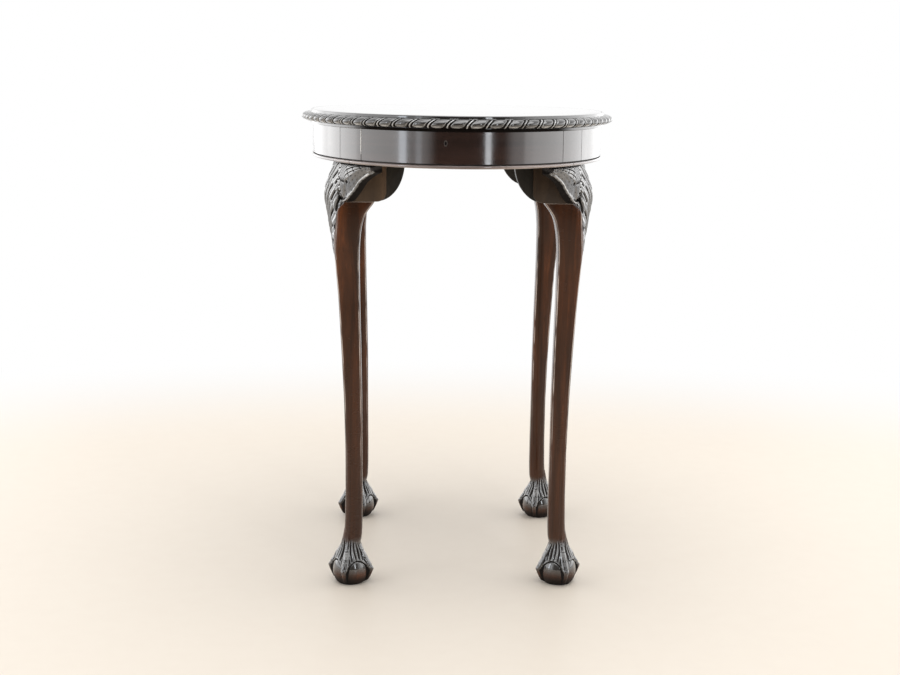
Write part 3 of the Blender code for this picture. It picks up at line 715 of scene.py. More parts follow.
def sweepAlongOval(name, profile, start, end, easedReach, paleEnd=False, shadedPoints=()):
    # a closed section carried along the oval, its ends eased back at the face
    speed = math.hypot(oval["halfX"] * math.cos(start), oval["halfY"] * math.sin(start))
    otherSpeed = math.hypot(oval["halfX"] * math.cos(end), oval["halfY"] * math.sin(end))
    start += oval["gap"] / 2 / speed
    end -= oval["gap"] / 2 / otherSpeed
    bite, other = apron["chamfer"] / speed, apron["chamfer"] / otherSpeed
    steps = max(8, int((end - start) / math.tau * apron["stepsPerTurn"]))
    inside = np.linspace(start + bite, end - other, steps)
    if paleEnd:
        inside = np.insert(inside, -1, end - other * apron["paleWidth"])
    turns = np.concatenate([[start], inside, [end]])
    rings = []
    for i, turn in enumerate(turns):
        ring = []
        for reach, z in profile:
            back = apron["chamfer"] if i in (0, len(turns) - 1) and reach >= easedReach else 0.0
            ring.append(ovalPoints([turn], reach - back, z)[0])
        rings.append(ring)
    hollow = np.full((len(turns), len(profile)), 0.5)
    wear = np.zeros_like(hollow)
    hollow[[0, -1]] = apron["seamWax"]
    if paleEnd:
        hollow[-1] = 0.5
        wear[-2:] = np.where([z > apron["paleAbove"] for reach, z in profile], apron["paleWear"], 0.0)
    # painted shade along the listed points of the section
    hollow[:, list(shadedPoints)] = apron["beadShade"]
    return tubeMesh(name, rings, {"hollow": hollow, "wear": wear})


def makeApron():
    near, far = apron["nearSeam"], apron["farSeam"]
    low, high, soft = apron["low"], apron["high"], apron["ease"]
    heights = np.linspace(high - soft, low + soft, 7)
    pieces = [("end_rail_front", -near, near), ("end_rail_back", math.pi - near, math.pi + near),
              ("side_rail_right", far, math.pi - far), ("side_rail_left", math.pi + far, math.tau - far),
              ("corner_block_front_right", near, far),
              ("corner_block_back_right", math.pi - far, math.pi - near),
              ("corner_block_back_left", math.pi + near, math.pi + far),
              ("corner_block_front_left", math.tau - far, math.tau - near)]
    for node, start, end in pieces:
        back = -apron["cornerThickness" if node.startswith("corner") else "railThickness"]
        profile = [(back, high), (-soft, high)] + [(0.0, z) for z in heights] + [(-soft, low), (back, low)]
        mesh = sweepAlongOval(node, profile, start, end, -1.0, node == apron["paleEnd"])
        placePiece("apron." + node.replace("_", "."), mesh, finish["apronVeneer"], [node])

    joint = (near + far) / 2
    low, high, soft, centre = apron["beadLow"], apron["beadHigh"], apron["beadEase"], apron["beadCentre"]
    quirkReach, quirkDepth = apron["quirk"]
    bead = [(-apron["beadDepth"], high), (quirkReach, high), (quirkReach, high - quirkDepth)]
    for turn in np.linspace(84, -80, 17):
        angle = math.radians(turn)
        bead.append((centre + (apron["beadReach"] - centre) * math.cos(angle),
                     (low + high) / 2 - soft + ((high - low) / 2 - soft) * math.sin(angle)))
    bead += [(centre, low), (-apron["beadDepth"], low)]
    for node, start, end in (("bead_front", -joint, joint), ("bead_right", joint, math.pi - joint),
                             ("bead_back", math.pi - joint, math.pi + joint),
                             ("bead_left", math.pi + joint, math.tau - joint)):
        # painted shade in the quirk above the bead and under its foot
        mesh = sweepAlongOval(node, bead, start, end, -0.5, shadedPoints=(1, 2, 3, 19, 20))
        placePiece("bead." + node[5:], mesh, finish["beadMahogany"], [node])


makeApron()
print("apron and bead made")


# legs

leg = {
    "axisX": 164.3, "axisY": 181.5, "top": 663.3, "joint": 603.5,
    "outerColumns": 76, "sideColumns": 56, "innerColumns": 40,
    "kneeStep": 1.15, "shankStep": 7.0, "footStep": 0.8,
    "carvedFoot": 519.0,       # where the leaf on the knee ends
    "tenonHalf": (8.5, 11.0), "tenonX": 163.0, "tenonTop": 687.3,
    "webInner": 150.0, "webHalf": 15.5, "cheekEdge": 175.0,
    # height, outer face, inner face, half depth, squareness, slope of the outer face
    "sections": (
        (664.0, 182.0, 125.0, 25.0, 11.0, 0.37), (653.0, 185.8, 125.0, 25.0, 11.0, 0.39),
        (640.0, 190.8, 125.0, 25.0, 11.0, 0.41), (623.0, 196.0, 125.0, 25.0, 11.0, 0.44),
        (613.0, 197.2, 125.0, 25.0, 11.0, 0.45), (603.5, 196.6, 126.5, 25.0, 10.5, 0.43),
        (594.0, 195.6, 135.0, 25.0, 10.0, 0.40), (582.0, 194.6, 143.0, 24.7, 9.0, 0.36),
        (569.0, 193.6, 146.9, 24.2, 8.5, 0.31), (554.0, 192.7, 149.5, 23.3, 8.5, 0.24),
        (531.0, 191.0, 151.2, 21.5, 8.0, 0.11), (499.5, 187.4, 151.2, 19.0, 7.3, 0.03),
        (453.0, 183.2, 150.5, 16.8, 6.4, 0.0), (374.7, 178.9, 148.5, 15.2, 5.0, 0.0),
        (296.0, 175.1, 147.0, 14.0, 4.0, 0.0), (215.5, 172.9, 146.6, 13.3, 3.3, 0.0),
        (139.0, 172.8, 146.0, 13.0, 2.8, 0.0), (96.0, 173.8, 146.0, 13.2, 2.3, 0.0),
        (72.0, 175.4, 147.0, 13.2, 2.1, 0.0), (58.0, 176.8, 151.0, 13.0, 2.0, 0.0),
        (0.0, 176.8, 151.8, 12.6, 2.0, 0.0)),
}

foot = {
    "top": 84.0, "turn": math.radians(18.0), "ballRadius": 28.5, "ballHeight": 22.0,
    # height, how far the toe's crest stands from the foot's axis, half its width
    "toes": ((84, 12.0, 2.0), (76, 12.8, 2.6), (68, 14.0, 3.6), (62, 16.0, 4.6), (57, 18.8, 5.4),
             (52, 21.9, 6.0), (47, 25.0, 6.6), (42, 27.8, 7.0), (37, 30.4, 7.4), (32, 33.2, 7.4),
             (28, 35.8, 6.8), (25.5, 37.6, 5.8), (23.5, 37.9, 4.8), (21.5, 37.1, 4.0), (16, 34.8, 3.6),
             (10, 31.8, 3.2), (6, 29.6, 3.0), (4, 28.0, 2.8), (2.5, 24.0, 2.4), (0, 18.5, 2.0)),
    # height and reach of the skin between the toes
    "web": ((84, 11.5), (74, 12.6), (66, 14.0), (60, 15.6), (54, 18.0), (48, 20.8), (43, 23.4), (38, 25.6),
            (32, 27.0), (0, 27.0)),
    "lidHigh": 39.5, "lidDrop": 16.0,      # lower edge of the skin: arched between the toes
    # tendons in the skin: place (0 midway between two toes, 1 at a toe), width, height
    "tendons": ((0.02, 0.09, 1.6), (0.36, 0.11, 2.1), (0.72, 0.10, 1.5)),
    # height, width and rise of a toe's joints; heights of the creases across them
    "knuckles": ((47.0, 3.2, 0.5), (33.0, 2.8, 0.5)), "creases": (53.5, 41.5, 39.6, 29.0),
    "creaseDepth": 0.55, "foldHeights": (30, 44, 64, 76), "foldDepth": 0.9, "sway": 0.05,
    "ballPowers": (2.4, 2.0),      # squareness of the ball below and above its middle
    "skinThickness": 1.9, "lidGroove": 1.1, "blend": 0.6,
    # painted shade, darkest at the floor, gets less between these heights; the toes get a painted highlight
    "floorShade": 0.74, "leastShade": 0.34, "shadeHeights": (4, 34), "toeHighlight": 0.09, "shade": 1.5,
    # heights between which the dark stain of the carving comes in from above, and thins near the floor
    "stainTop": (76, 60), "stainLow": (14, 30),
}

carvedShade = 0.3                  # how strongly each millimetre of relief is shaded
leaf = {
    "length": leg["top"] - leg["carvedFoot"],
    "rowHeight": 30.0,         # each row of leaflets hangs this far below the last
    "beside": 13.0,            # how much further it spreads beside the knee
    "fluteSpacing": 10.4, "fluteWidth": 1.25, "fluteDepth": 2.0, "fluteSlant": 13.0, "rowShift": 4.1,
    "crestAside": 3.3, "crestWidth": 1.15, "crestHeight": 0.75,
    "overlap": 0.9, "swell": 0.9, "bed": 0.5, "besideDepth": 1.4,
    "tipLength": 70.0, "tipFullness": 0.6, "margin": 2.5, "fade": 0.12,
    # painted shade in the flutes' cuts, painted highlight on their crests between these heights
    "cutShade": 0.55, "crestHighlight": 0.22, "highlightHeights": (505.0, 600.0),
}


def shadeUnderBead(z):
    # painted shade: the carving darkens towards the bead
    return 0.85 * ease(z, 657.5, 661.5)


def smoothTable(rows, z, column, width):
    # linear table, rounded off by averaging over a short span
    heights, values = zip(*[(row[0], row[column]) for row in rows[::-1]])
    return float(np.mean(np.interp(z + np.linspace(-width, width, 13), heights, values)))


def resampled(points, count):
    # count points along a line, the last one left for the next stretch
    steps = np.linalg.norm(np.diff(points, axis=0), axis=1)
    lengths = np.concatenate([[0], np.cumsum(steps)])
    targets = np.linspace(0, lengths[-1], count, endpoint=False)
    return np.stack([np.interp(targets, lengths, points[:, k]) for k in (0, 1)], 1)


def legSection(z, stepped):
    outer, inner, depth, power, slope = [smoothTable(leg["sections"], z, k, 7.0) for k in range(1, 6)]
    centre, half = (outer + inner) / 2, (outer - inner) / 2

    def stretch(first, last):
        angles = np.radians(np.linspace(first, last, 240))
        c, s = np.cos(angles), np.sin(angles)
        x = half * np.sign(c) * np.abs(c) ** (2 / power)
        y = depth * np.sign(s) * np.abs(s) ** (2 / power)
        x = x + y * slope * np.clip(x / (half * 0.8), 0, 1)
        return np.stack([centre + x, y], 1)

    outerHalf, parts = leg["outerColumns"] // 2, leg["sideColumns"]
    if stepped:
        # above the joint the inner side is sawn back for the bracket and the cheeks
        edgeX, webX, web = leg["cheekEdge"], leg["webInner"], leg["webHalf"]
        long, short = parts // 2, parts // 6
        side = stretch(45, 135)
        side = side[side[:, 0] > edgeX + 0.2]
        wall = side[-1][1]
        stretches = [(np.vstack([side, (edgeX, wall)]), long),
                     (np.array([(edgeX, wall), (edgeX, web)]), short),
                     (np.array([(edgeX, web), (webX, web)]), parts - long - short),
                     (np.array([(webX, web), (webX, -web)]), leg["innerColumns"])]
        side = stretch(225, 315)
        side = side[side[:, 0] > edgeX + 0.2]
        stretches += [(np.array([(webX, -web), (edgeX, -web)]), parts - long - short),
                      (np.array([(edgeX, -web), (edgeX, -wall)]), short),
                      (np.vstack([(edgeX, -wall), side]), long)]
    else:
        stretches = [(stretch(45, 135), parts), (stretch(135, 225), leg["innerColumns"]),
                     (stretch(225, 315), parts)]
    stretches = [(stretch(0, 45), outerHalf), *stretches, (stretch(-45, 0), outerHalf)]
    return np.concatenate([resampled(points, count) for points, count in stretches])


def leafRelief(spread, half, z):
    # drooping leaf over the knee: rows of overlapping leaflets, each cut with long slanting flutes
    drop = leg["top"] - z
    reach = np.clip((leaf["length"] - drop) / leaf["tipLength"], 0, 1) ** leaf["tipFullness"]
    beside = leaf["beside"] * ease(z, leg["joint"] - 14, leg["joint"] + 2)
    width = np.maximum((half + leaf["margin"] + beside) * reach, 0.4)
    q = np.abs(spread / width)
    inLeaf = ease(1.0 - q, 0.0, leaf["fade"]) * ease(leaf["length"] - drop, 0.0, 5.0)
    lag = drop / leaf["rowHeight"] - 0.8 * q ** 1.1
    row, leaflet = np.floor(lag), fraction(lag)
    overlap = leaf["overlap"]
    shingle = np.where(leaflet < overlap, (leaflet / overlap) ** 0.8, (1 - leaflet) / (1 - overlap))
    # the flutes over the outer face are broader than those beside it
    away = np.abs(spread)
    even = np.sign(spread) * (np.minimum(away, half) * 0.7 + np.maximum(away - half, 0))
    slant = even - leaf["fluteSlant"] * (leaflet - 0.5) + leaf["rowShift"] * row
    across = (fraction(slant / leaf["fluteSpacing"]) - 0.5) * leaf["fluteSpacing"]
    cut = bell(across, 0, leaf["fluteWidth"]) * ease(leaflet, 0.02, 0.16) * (1 - ease(leaflet, 0.74, 0.96))
    crest = bell(np.abs(across), leaf["crestAside"], leaf["crestWidth"])
    body = leaf["swell"] * shingle + leaf["crestHeight"] * crest - leaf["fluteDepth"] * cut - leaf["bed"]
    body = body - leaf["besideDepth"] * ease(away, half + 1.0, half + 4.0)
    return body * inLeaf, inLeaf, cut * inLeaf, crest * inLeaf


def fromNearestToe(turns):
    local = (turns - foot["turn"]) / (math.pi / 2)
    return (local - np.round(local)) * (math.pi / 2)


def footRadius(z, off, ankle):
    # toes, the skin between them and the ball, for one height all round
    crest, width = [smoothTable(foot["toes"], z, column, 0.8) for column in (1, 2)]
    lateral = np.abs(crest * np.sin(off))
    arch = np.sqrt(np.clip(1 - (lateral / width) ** 2, 0, 1))
    toe = crest - width * 0.95 * (1 - arch) - np.maximum(lateral - width, 0) * 2.4
    skin = smoothTable(foot["web"], z, 1, 2.0)
    between = (math.pi / 4 - np.abs(off)) / (math.pi / 4)
    # tendons run down from the ankle and spread over the skin
    heights, blend = foot["foldHeights"], foot["blend"]
    fold = ease(z, *heights[:2]) * (1 - ease(z, *heights[2:]))
    sway = foot["sway"] * (math.sin(z / 5.0) + np.sign(off) * (z - 50) / 15)
    for i, (place, spread, height) in enumerate(foot["tendons"]):
        skin = skin + height * fold * bell(between + (sway if i else 0), place, spread)
    skin = skin - foot["foldDepth"] * fold
    rise = z - foot["ballHeight"]
    power = foot["ballPowers"][0 if rise < 0 else 1]
    ball = foot["ballRadius"] * max(1 - abs(rise / foot["ballRadius"]) ** power, 0.001) ** (1 / power)
    lid = foot["lidHigh"] - foot["lidDrop"] * between ** 1.9
    covered = ease(z, lid - 0.3, lid + 0.7)
    skin = ball + (np.maximum(skin, ball + foot["skinThickness"]) - ball) * covered
    skin = skin - foot["lidGroove"] * bell(z, lid - foot["lidGroove"], 0.7)
    over = ease(z, foot["top"] - 12, foot["top"])
    rest = np.maximum(skin, ankle)
    joined = rest + np.log1p(np.exp(np.clip((toe - rest) / blend, -30, 30))) * blend
    return joined * (1 - over) + np.maximum(ankle, joined - 0.8) * over


def knuckles(z, off):
    # slight joints and the creases across them
    bumps = sum(rise * bell(z, height, width) for height, width, rise in foot["knuckles"])
    creases = sum(bell(z, height, 0.7) for height in foot["creases"])
    return (bumps - foot["creaseDepth"] * creases) * bell(off, 0, 0.22)


def turnsOf(ring, centre):
    away = ring - centre
    return np.unwrap(np.arctan2(away[:, 1], away[:, 0]))


def reachAt(ring, centre, wanted):
    # how far a section reaches from its centre at the wanted turns
    turns = turnsOf(ring, centre)
    period = np.concatenate([turns - math.tau, turns, turns + math.tau])
    return np.interp(wanted, period, np.tile(np.linalg.norm(ring - centre, axis=1), 3))


def roundPoints(centre, reach, turns):
    return centre + np.stack([reach * np.cos(turns), reach * np.sin(turns)], 1)


def makeLeg():
    topRows = np.arange(leg["top"], leg["joint"], -leg["kneeStep"])
    kneeRows = np.arange(leg["joint"] - 0.02, leg["carvedFoot"] - 4, -leg["kneeStep"])
    shankRows = np.arange(kneeRows[-1] - 3.0, foot["top"], -leg["shankStep"])
    footRows = np.append(np.arange(foot["top"], 0.4, -leg["footStep"]), [0.35, 0.0])
    count = leg["outerColumns"] + 2 * leg["sideColumns"] + leg["innerColumns"]
    index = np.arange(count)
    corner = leg["outerColumns"] // 2
    evenTurns = math.tau * index / count
    rings, marks = [], {"hollow": [], "wear": [], "carved": []}

    def addRow(ring, z, **values):
        rings.append(np.column_stack([ring, np.full(count, z)]))
        for key, value in values.items():
            marks[key].append(np.zeros(count) + value)

    # tenon
    middle = np.array([leg["tenonX"], 0.0])
    away = legSection(leg["top"], True) - middle
    scale = np.min(leg["tenonHalf"] / np.maximum(np.abs(away), 1e-6), axis=1)
    away = away * np.minimum(scale, 1.0)[:, None]
    for z, shrink in ((leg["tenonTop"], 0.93), (leg["tenonTop"] - 0.8, 1.0), (leg["top"] - 0.01, 1.0)):
        addRow(middle + away * shrink, z, hollow=0.5, wear=0, carved=0)

    # knee: the relief stands off the section; its hollows get painted shade and its crests painted highlights
    heights = [(z, True) for z in topRows] + [(leg["joint"], True)] + [(z, False) for z in kneeRows]
    relief, rows, shades = [], [], []
    for z, stepped in heights:
        ring = legSection(z, stepped)
        ahead, behind = np.roll(ring, -1, 0), np.roll(ring, 1, 0)
        along = ahead - behind
        outward = np.stack([along[:, 1], -along[:, 0]], 1)
        outward /= np.maximum(np.linalg.norm(outward, axis=1), 1e-9)[:, None]
        inside = [(ring[:, 0].min() + ring[:, 0].max()) / 2, 0]
        outward *= np.sign(np.sum(outward * (ring - inside), 1).mean())
        lengths = np.concatenate([[0], np.cumsum(np.linalg.norm(ahead - ring, axis=1))])
        total = lengths[-1]
        spread = np.where(index < count / 2, lengths[:-1], lengths[:-1] - total)
        half = (lengths[corner] + total - lengths[count - corner]) / 2
        height, inLeaf, cut, crest = leafRelief(spread, half, z)
        height = height * ease(z, leg["top"] + 1.0, leg["top"] - 3.0)
        relief.append(height)
        # painted shade in the cuts and painted highlights on the crests
        shades.append(cut * leaf["cutShade"] - crest * leaf["crestHighlight"] * ease(z, *leaf["highlightHeights"]))
        rows.append((z, ring + outward * height[:, None], inLeaf))
    relief = np.array(relief)
    deep = hollowness(relief, 3, True, carvedShade, np.array(shades))
    fromArris = np.min([np.abs(index - place) for place in (
        corner, count - corner, corner + leg["sideColumns"], count - corner - leg["sideColumns"])], axis=0)
    for (z, ring, inLeaf), d in zip(rows, deep):
        arris = bell(fromArris, 0, 0.8) * (1 - inLeaf * 0.7) * ease(z, 612, 596)
        joint = 0.8 if abs(z - leg["joint"] + 0.02) < 0.01 else 0.0
        addRow(ring, z, hollow=np.maximum(d, inLeaf * shadeUnderBead(z)),
               wear=np.maximum(arris, joint * (1 - inLeaf)), carved=inLeaf)

    # shank: columns slide from the faces' own spacing to even spacing at the foot
    for z in shankRows:
        ring = legSection(z, False)
        centre = np.array([(ring[:, 0].min() + ring[:, 0].max()) / 2, 0.0])
        even = float(1 - ease(z, foot["top"] + 60, kneeRows[-1] - 20))
        wanted = turnsOf(ring, centre) * (1 - even) + evenTurns * even
        arris = (1 - ease(np.cos(2 * wanted) ** 2, 0.0, 0.012)) * 1.1 * ease(z, 110, 380)
        ring = roundPoints(centre, reachAt(ring, centre, wanted), wanted)
        addRow(ring, z, hollow=0.5, wear=arris, carved=0)

    axis = np.array([leg["axisX"], 0.0])
    off = fromNearestToe(evenTurns)
    reaches = []
    for z in footRows:
        ankle = reachAt(legSection(max(z, 45.0), False), axis, evenTurns) * (1 - 0.5 * (1 - ease(z, 35, 60)))
        reaches.append(footRadius(z, off, ankle) + knuckles(z, off))
    reaches = np.array(reaches)
    deep = hollowness(reaches, 4, True, foot["shade"])
    for z, reach, d in zip(footRows, reaches, deep):
        # painted shade low on the foot, painted highlight on the toes
        paintedShade = foot["floorShade"] + (foot["leastShade"] - foot["floorShade"]) * ease(z, *foot["shadeHeights"])
        d = np.maximum(d, paintedShade) - foot["toeHighlight"] * ease(z, 32, 44) * ease(z, 76, 66)
        carved = ease(z, *foot["stainTop"]) * (0.05 + 0.95 * ease(z, *foot["stainLow"]))
        addRow(roundPoints(axis, reach, evenTurns), z, hollow=d, wear=0, carved=carved)
    rings = np.array(rings)
    rings[:, :, 1] -= leg["axisY"]
    return tubeMesh("leg", rings, {key: np.array(values) for key, values in marks.items()})


legMesh = makeLeg()
print("leg:", len(legMesh.polygons), "faces")
placeQuarters("leg", legMesh, finish["legMahogany"], "leg", 45)
print("legs made")


# ears beside the knees

ear = {
    "start": 206.8, "tip": 288.0, "depth": 14.0, "thinning": 0.25, "setBack": 11.5, "bulge": 6.0,
    "fullness": 0.8, "columns": 110, "rows": 64,
    # share of the length, share of the height where the sawn underside runs
    "undersideShares": ((0.0, 0.0), (0.06, 0.0), (0.20, 0.06), (0.34, 0.18), (0.48, 0.33), (0.63, 0.54),
                        (0.83, 0.72), (1.0, 0.83)),
    "rim": (1.5, 1.15),              # height above the sawn edge, width
    "bladeLow": 7.0, "bladeShare": 0.50, "fieldDepth": 1.9,
    "ribSpacing": 0.26, "ribAside": 0.26, "ribWidth": 0.12, "ribCut": 0.11, "notchSpacing": 14.0,
    "pit": (25.0, 22.0), "pitSize": (1.7, 2.1),        # from the leg, above the sawn edge
    "scroll": (77.0, 4.6), "scrollRadius": 6.0, "scrollTurn": 1.4, "scrollHeight": 1.3,
    "bladeTurn": 0.9, "turnLength": (2, 26), "turnHeight": 12, "ribSway": (0.22, 8.0),
    # tool marks, two crossing waves: height and lengths
    "toolRelief": (0.22, 2.9, 2.3, 4.3, 2.7), "toolMottle": (0.17, 1.9, 1.7, 3.3, 2.1),
    "face": -0.8,                    # how far the plain face stands from the outline
    # how high each form stands, and how much painted shade it gets (below 0 a painted highlight)
    "relief": {"rim": 1.7, "rib": 0.9, "ribCut": -1.5, "leafCut": -1.1, "pit": -2.4, "vein": 0.16},
    "paintedShade": {"rim": -0.5, "rib": -0.3, "ribCut": 0.55, "leafCut": 0.4, "pit": 0.5},
}


def toolMarks(place, up, waves):
    height, a, b, c, d = waves
    return height * np.sin(place / a + up / b) * np.sin(place / c - up / d)


def makeEar():
    shares, drops = zip(*ear["undersideShares"])
    along = np.linspace(0, 1, ear["columns"])
    low = np.mean([np.interp(along + s, shares, drops) for s in np.linspace(-0.04, 0.04, 9)], 0)
    low = leg["joint"] + (leg["top"] - leg["joint"]) * np.maximum(low, 0)
    length = ear["tip"] - ear["start"]
    y = ear["start"] + length * along
    outer = ovalHalfWidth(y, -ear["setBack"])
    inner = outer - ear["depth"] * (1 - ear["thinning"] * along)
    a, b = np.meshgrid(along, np.linspace(1, 0, ear["rows"]), indexing="ij")
    height = (leg["top"] - low)[:, None]
    up, place = b * height, a * length              # above the sawn edge, from the leg
    # the plain field is a leaf's blade; ribs stand above it and turn down beside the leg
    blade = up / (ear["bladeLow"] + ear["bladeShare"] * (height - ear["bladeLow"]))
    blade = blade + ear["bladeTurn"] * (1 - ease(place, *ear["turnLength"])) * ease(up, 0, ear["turnHeight"])
    over = ease(blade, 0.90, 1.0)
    sway, swayLength = ear["ribSway"]
    across = fraction((blade - 1.0) / ear["ribSpacing"] + sway * np.sin(place / swayLength)) - 0.5
    notch = fraction(place / ear["notchSpacing"] + blade * 1.1)
    forms = {
        "rim": bell(up, *ear["rim"]),
        "rib": bell(np.abs(across), ear["ribAside"], ear["ribWidth"]) * over,
        "ribCut": bell(across, 0, ear["ribCut"]) * over * (1 - ease(b, 0.88, 0.98)),
        "leafCut": bell(notch, 0.5, 0.07) * over * (1 - ease(b, 0.80, 0.95)),
        "pit": bell(place, ear["pit"][0], ear["pitSize"][0]) * bell(up, ear["pit"][1], ear["pitSize"][1]),
        "vein": np.cos(math.tau * (place * 0.5 + up * 0.9) / 13.0) * (1 - over) * ease(up, 4, 9),
    }
    relief = -ear["fieldDepth"] * np.sin(math.pi * np.clip((blade - 0.08) / 0.88, 0, 1)) ** 0.7
    relief = relief + sum(high * forms[name] for name, high in ear["relief"].items())
    relief = relief + toolMarks(place, up, ear["toolRelief"]) * (1 - over)
    besideScroll, aboveScroll = place - ear["scroll"][0], up - ear["scroll"][1]
    fromScroll = np.hypot(besideScroll, aboveScroll)
    curl = ease(ear["scrollRadius"] - fromScroll, 0.0, 1.2)
    spiral = np.cos(fromScroll * ear["scrollTurn"] + np.arctan2(aboveScroll, besideScroll))
    spiral = 0.5 + ear["scrollHeight"] * spiral
    relief = blurred(relief * (1 - curl) + curl * spiral, 1, False) * ease(b, 1.0, 0.95)
    # painted shade in the cuts and the pit, painted highlights on the rim and ribs
    marks = sum(dark * forms[name] for name, dark in ear["paintedShade"].items())
    marks = marks + toolMarks(place, up, ear["toolMottle"]) * (1 - over)
    deep = hollowness(relief, 5, False, carvedShade, marks * (1 - curl))
    faceX = outer[:, None] + ear["bulge"] * np.sin(math.pi * (1 - b) ** ear["fullness"])
    faceX = faceX + relief * 0.85 + ear["face"]
    faceZ = low[:, None] + up
    deep = np.maximum(deep, shadeUnderBead(faceZ))
    rings, hollow = [], []
    for i, back in enumerate(inner):
        section = [(back, leg["top"]), *zip(faceX[i], faceZ[i]), ((faceX[i][-1] * 2 + back) / 3, low[i]),
                   (back, low[i])]
        rings.append([(x, -y[i], z) for x, z in section])
        # the sawn underside gets full painted shade
        hollow.append([0.5, *deep[i], 1.0, 1.0])
    hollow = np.array(hollow)
    return tubeMesh("ear", rings, {"hollow": hollow, "wear": np.zeros_like(hollow)})


placeQuarters("ear", makeEar(), finish["carvedMahogany"], "ear", 50)
print("ears made")


# brackets and cheeks

bracket = {
    "seat": 603.8, "top": 663.3, "half": 15.2, "innerX": 149.7, "topX": 83.0, "footX": 125.0,
    "cheekOuter": 174.7, "cheekInner": 110.5, "cheekRound": 14.5, "cheekFace": 25.0, "cheekBack": 15.8,
    "steps": 22, "bevel": 0.5,
}


def quarterCurve(fromX, toX, fromZ, toZ, steps):
    # from upright to level
    turns = [math.pi / 2 * i / steps for i in range(steps + 1)]
    return [(fromX + (toX - fromX) * (1 - math.cos(t)), fromZ + (toZ - fromZ) * math.sin(t)) for t in turns]


def makeBrackets():
    b, y = bracket, -leg["axisY"]
    outline = [(b["innerX"], b["seat"]), (b["innerX"], b["top"])]
    outline += quarterCurve(b["topX"], b["footX"], b["top"], b["seat"], b["steps"])
    mesh = prismMesh("bracket", outline, y - b["half"], y + b["half"], b["bevel"])
    placeQuarters("kneeBracket", mesh, finish["bracketMahogany"], "knee_bracket")
    outline = [(b["cheekOuter"], b["seat"]), (b["cheekOuter"], b["top"]), (b["cheekInner"], b["top"])]
    outline += quarterCurve(b["cheekInner"], b["cheekInner"] + b["cheekRound"], b["seat"] + b["cheekRound"],
                            b["seat"], b["steps"] // 2)
    for name, low, high in (("outer_cheek", -b["cheekFace"], -b["cheekBack"]),
                            ("inner_cheek", b["cheekBack"], b["cheekFace"])):
        mesh = prismMesh(name, outline, y + low, y + high, b["bevel"])
        placeQuarters(name.replace("_", "."), mesh, finish["cheekMahogany"], name)


makeBrackets()
print("brackets and cheeks made")


# screws

screw = {
    "x": 52.5, "y": 181.5, "headLow": 664.3, "headRadius": 4.6, "headDepth": 3.0, "rootShare": 0.78,
    "shankRadius": 2.2, "top": 727.7, "slot": 1.1, "plain": 14.0, "threadStep": 1.9, "threadLand": 0.7,
    "tipLength": 4.0, "tipRadius": 0.5, "around": 28,
}


def makeScrewMesh():
    # one countersunk slotted screw on its axis, head down
    low, radius, shank = screw["headLow"], screw["headRadius"], screw["shankRadius"]
    profile = [(radius * 0.7, low + 0.1), (radius - 0.2, low + 0.3), (radius, low + 0.7),
               (shank, low + screw["headDepth"])]
    z = low + screw["headDepth"] + screw["plain"]
    while z < screw["top"] - screw["tipLength"]:
        profile += [(shank * screw["rootShare"], z), (shank, z + screw["threadLand"])]
        z += screw["threadStep"]
    profile += [(screw["tipRadius"], screw["top"])]
    turns = [math.tau * k / screw["around"] for k in range(screw["around"])]
    rings = [[(r * math.cos(turn), r * math.sin(turn), z) for turn in turns] for r, z in profile]
    # the slot is sunk by lifting the points that lie in it
    for ring in rings[:2]:
        for k, (x, y, z) in enumerate(ring):
            if abs(y) < screw["slot"] * 0.6:
                ring[k] = (x, y, z + screw["slot"])
    return tubeMesh("screw", rings)


def makeScrewTree():
    tree, inside, outside = newGeometryTree("topScrews", (
        ("Screw", "Object", None), ("Spacing X", "Float", 0.105), ("Spacing Y", "Float", 0.363),
        ("Turn Spread", "Float", 2.6), ("Seed", "Int", 7), ("Material", "Material", None)))
    grid = addNode(tree, "GeometryNodeMeshGrid", **{
        "Size X": inside["Spacing X"], "Size Y": inside["Spacing Y"], "Vertices X": 2, "Vertices Y": 2})
    pattern = addNode(tree, "GeometryNodeObjectInfo", Object=inside["Screw"])
    turn = tree.nodes.new("FunctionNodeRandomValue")
    turn.data_type = "FLOAT"
    for socket in turn.inputs:
        if socket.name == "Min" and socket.type == "VALUE":
            socket.default_value = 0.0
        if socket.name == "Max" and socket.type == "VALUE":
            link(tree, inside["Turn Spread"], socket)
        if socket.name == "Seed":
            link(tree, inside["Seed"], socket)
    spin = addNode(tree, "ShaderNodeCombineXYZ", Z=next(s for s in turn.outputs if s.type == "VALUE"))
    spread = addNode(tree, "GeometryNodeInstanceOnPoints", Points=grid.outputs["Mesh"],
                     Instance=pattern.outputs["Geometry"], Rotation=spin.outputs[0])
    finishTree(tree, spread.outputs[0], inside["Material"], outside)
    return tree


screwPattern = addObject("screwPattern", makeScrewMesh())
screwMesh = runTree(makeScrewTree(), {
    "Screw": screwPattern, "Spacing X": screw["x"] * 2 * mm, "Spacing Y": screw["y"] * 2 * mm,
    "Material": finish["screwIron"]})
bpy.data.objects.remove(screwPattern, do_unlink=True)
placePiece("topScrews", screwMesh, finish["screwIron"],
           ["top_screw_" + quarter for quarter, _, _ in quarters], 30)
print("screws made")


# inside rails and blocks keep their solids

for name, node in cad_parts.items():
    for start, wood in (("cross_rail", "insideWood"), ("glue_block", "blockWood")):
        if name.startswith(start):
            node.data.materials.clear()
            node.data.materials.append(finish[wood])


# room

room = {
    "floorRadius": 12.0, "floorColour": (0.80, 0.72, 0.62), "speckColour": (0.70, 0.60, 0.50),
    "floorCentre": (0, -1.2, 0), "plainWithin": 1.95, "whiteBeyond": 2.9, "worldStrength": 0.75,
    # dark card behind the camera: turn from the front end in degrees (+ towards +X), half width
    "cardTurn": 8.0, "cardHalf": 47.5, "cardFade": 14.0, "cardDistance": 3.6, "cardTop": 2.8,
    "cardColour": (0.045, 0.036, 0.032),
}
daylight = (0.86, 0.92, 1.0)
white = (1, 1, 1)
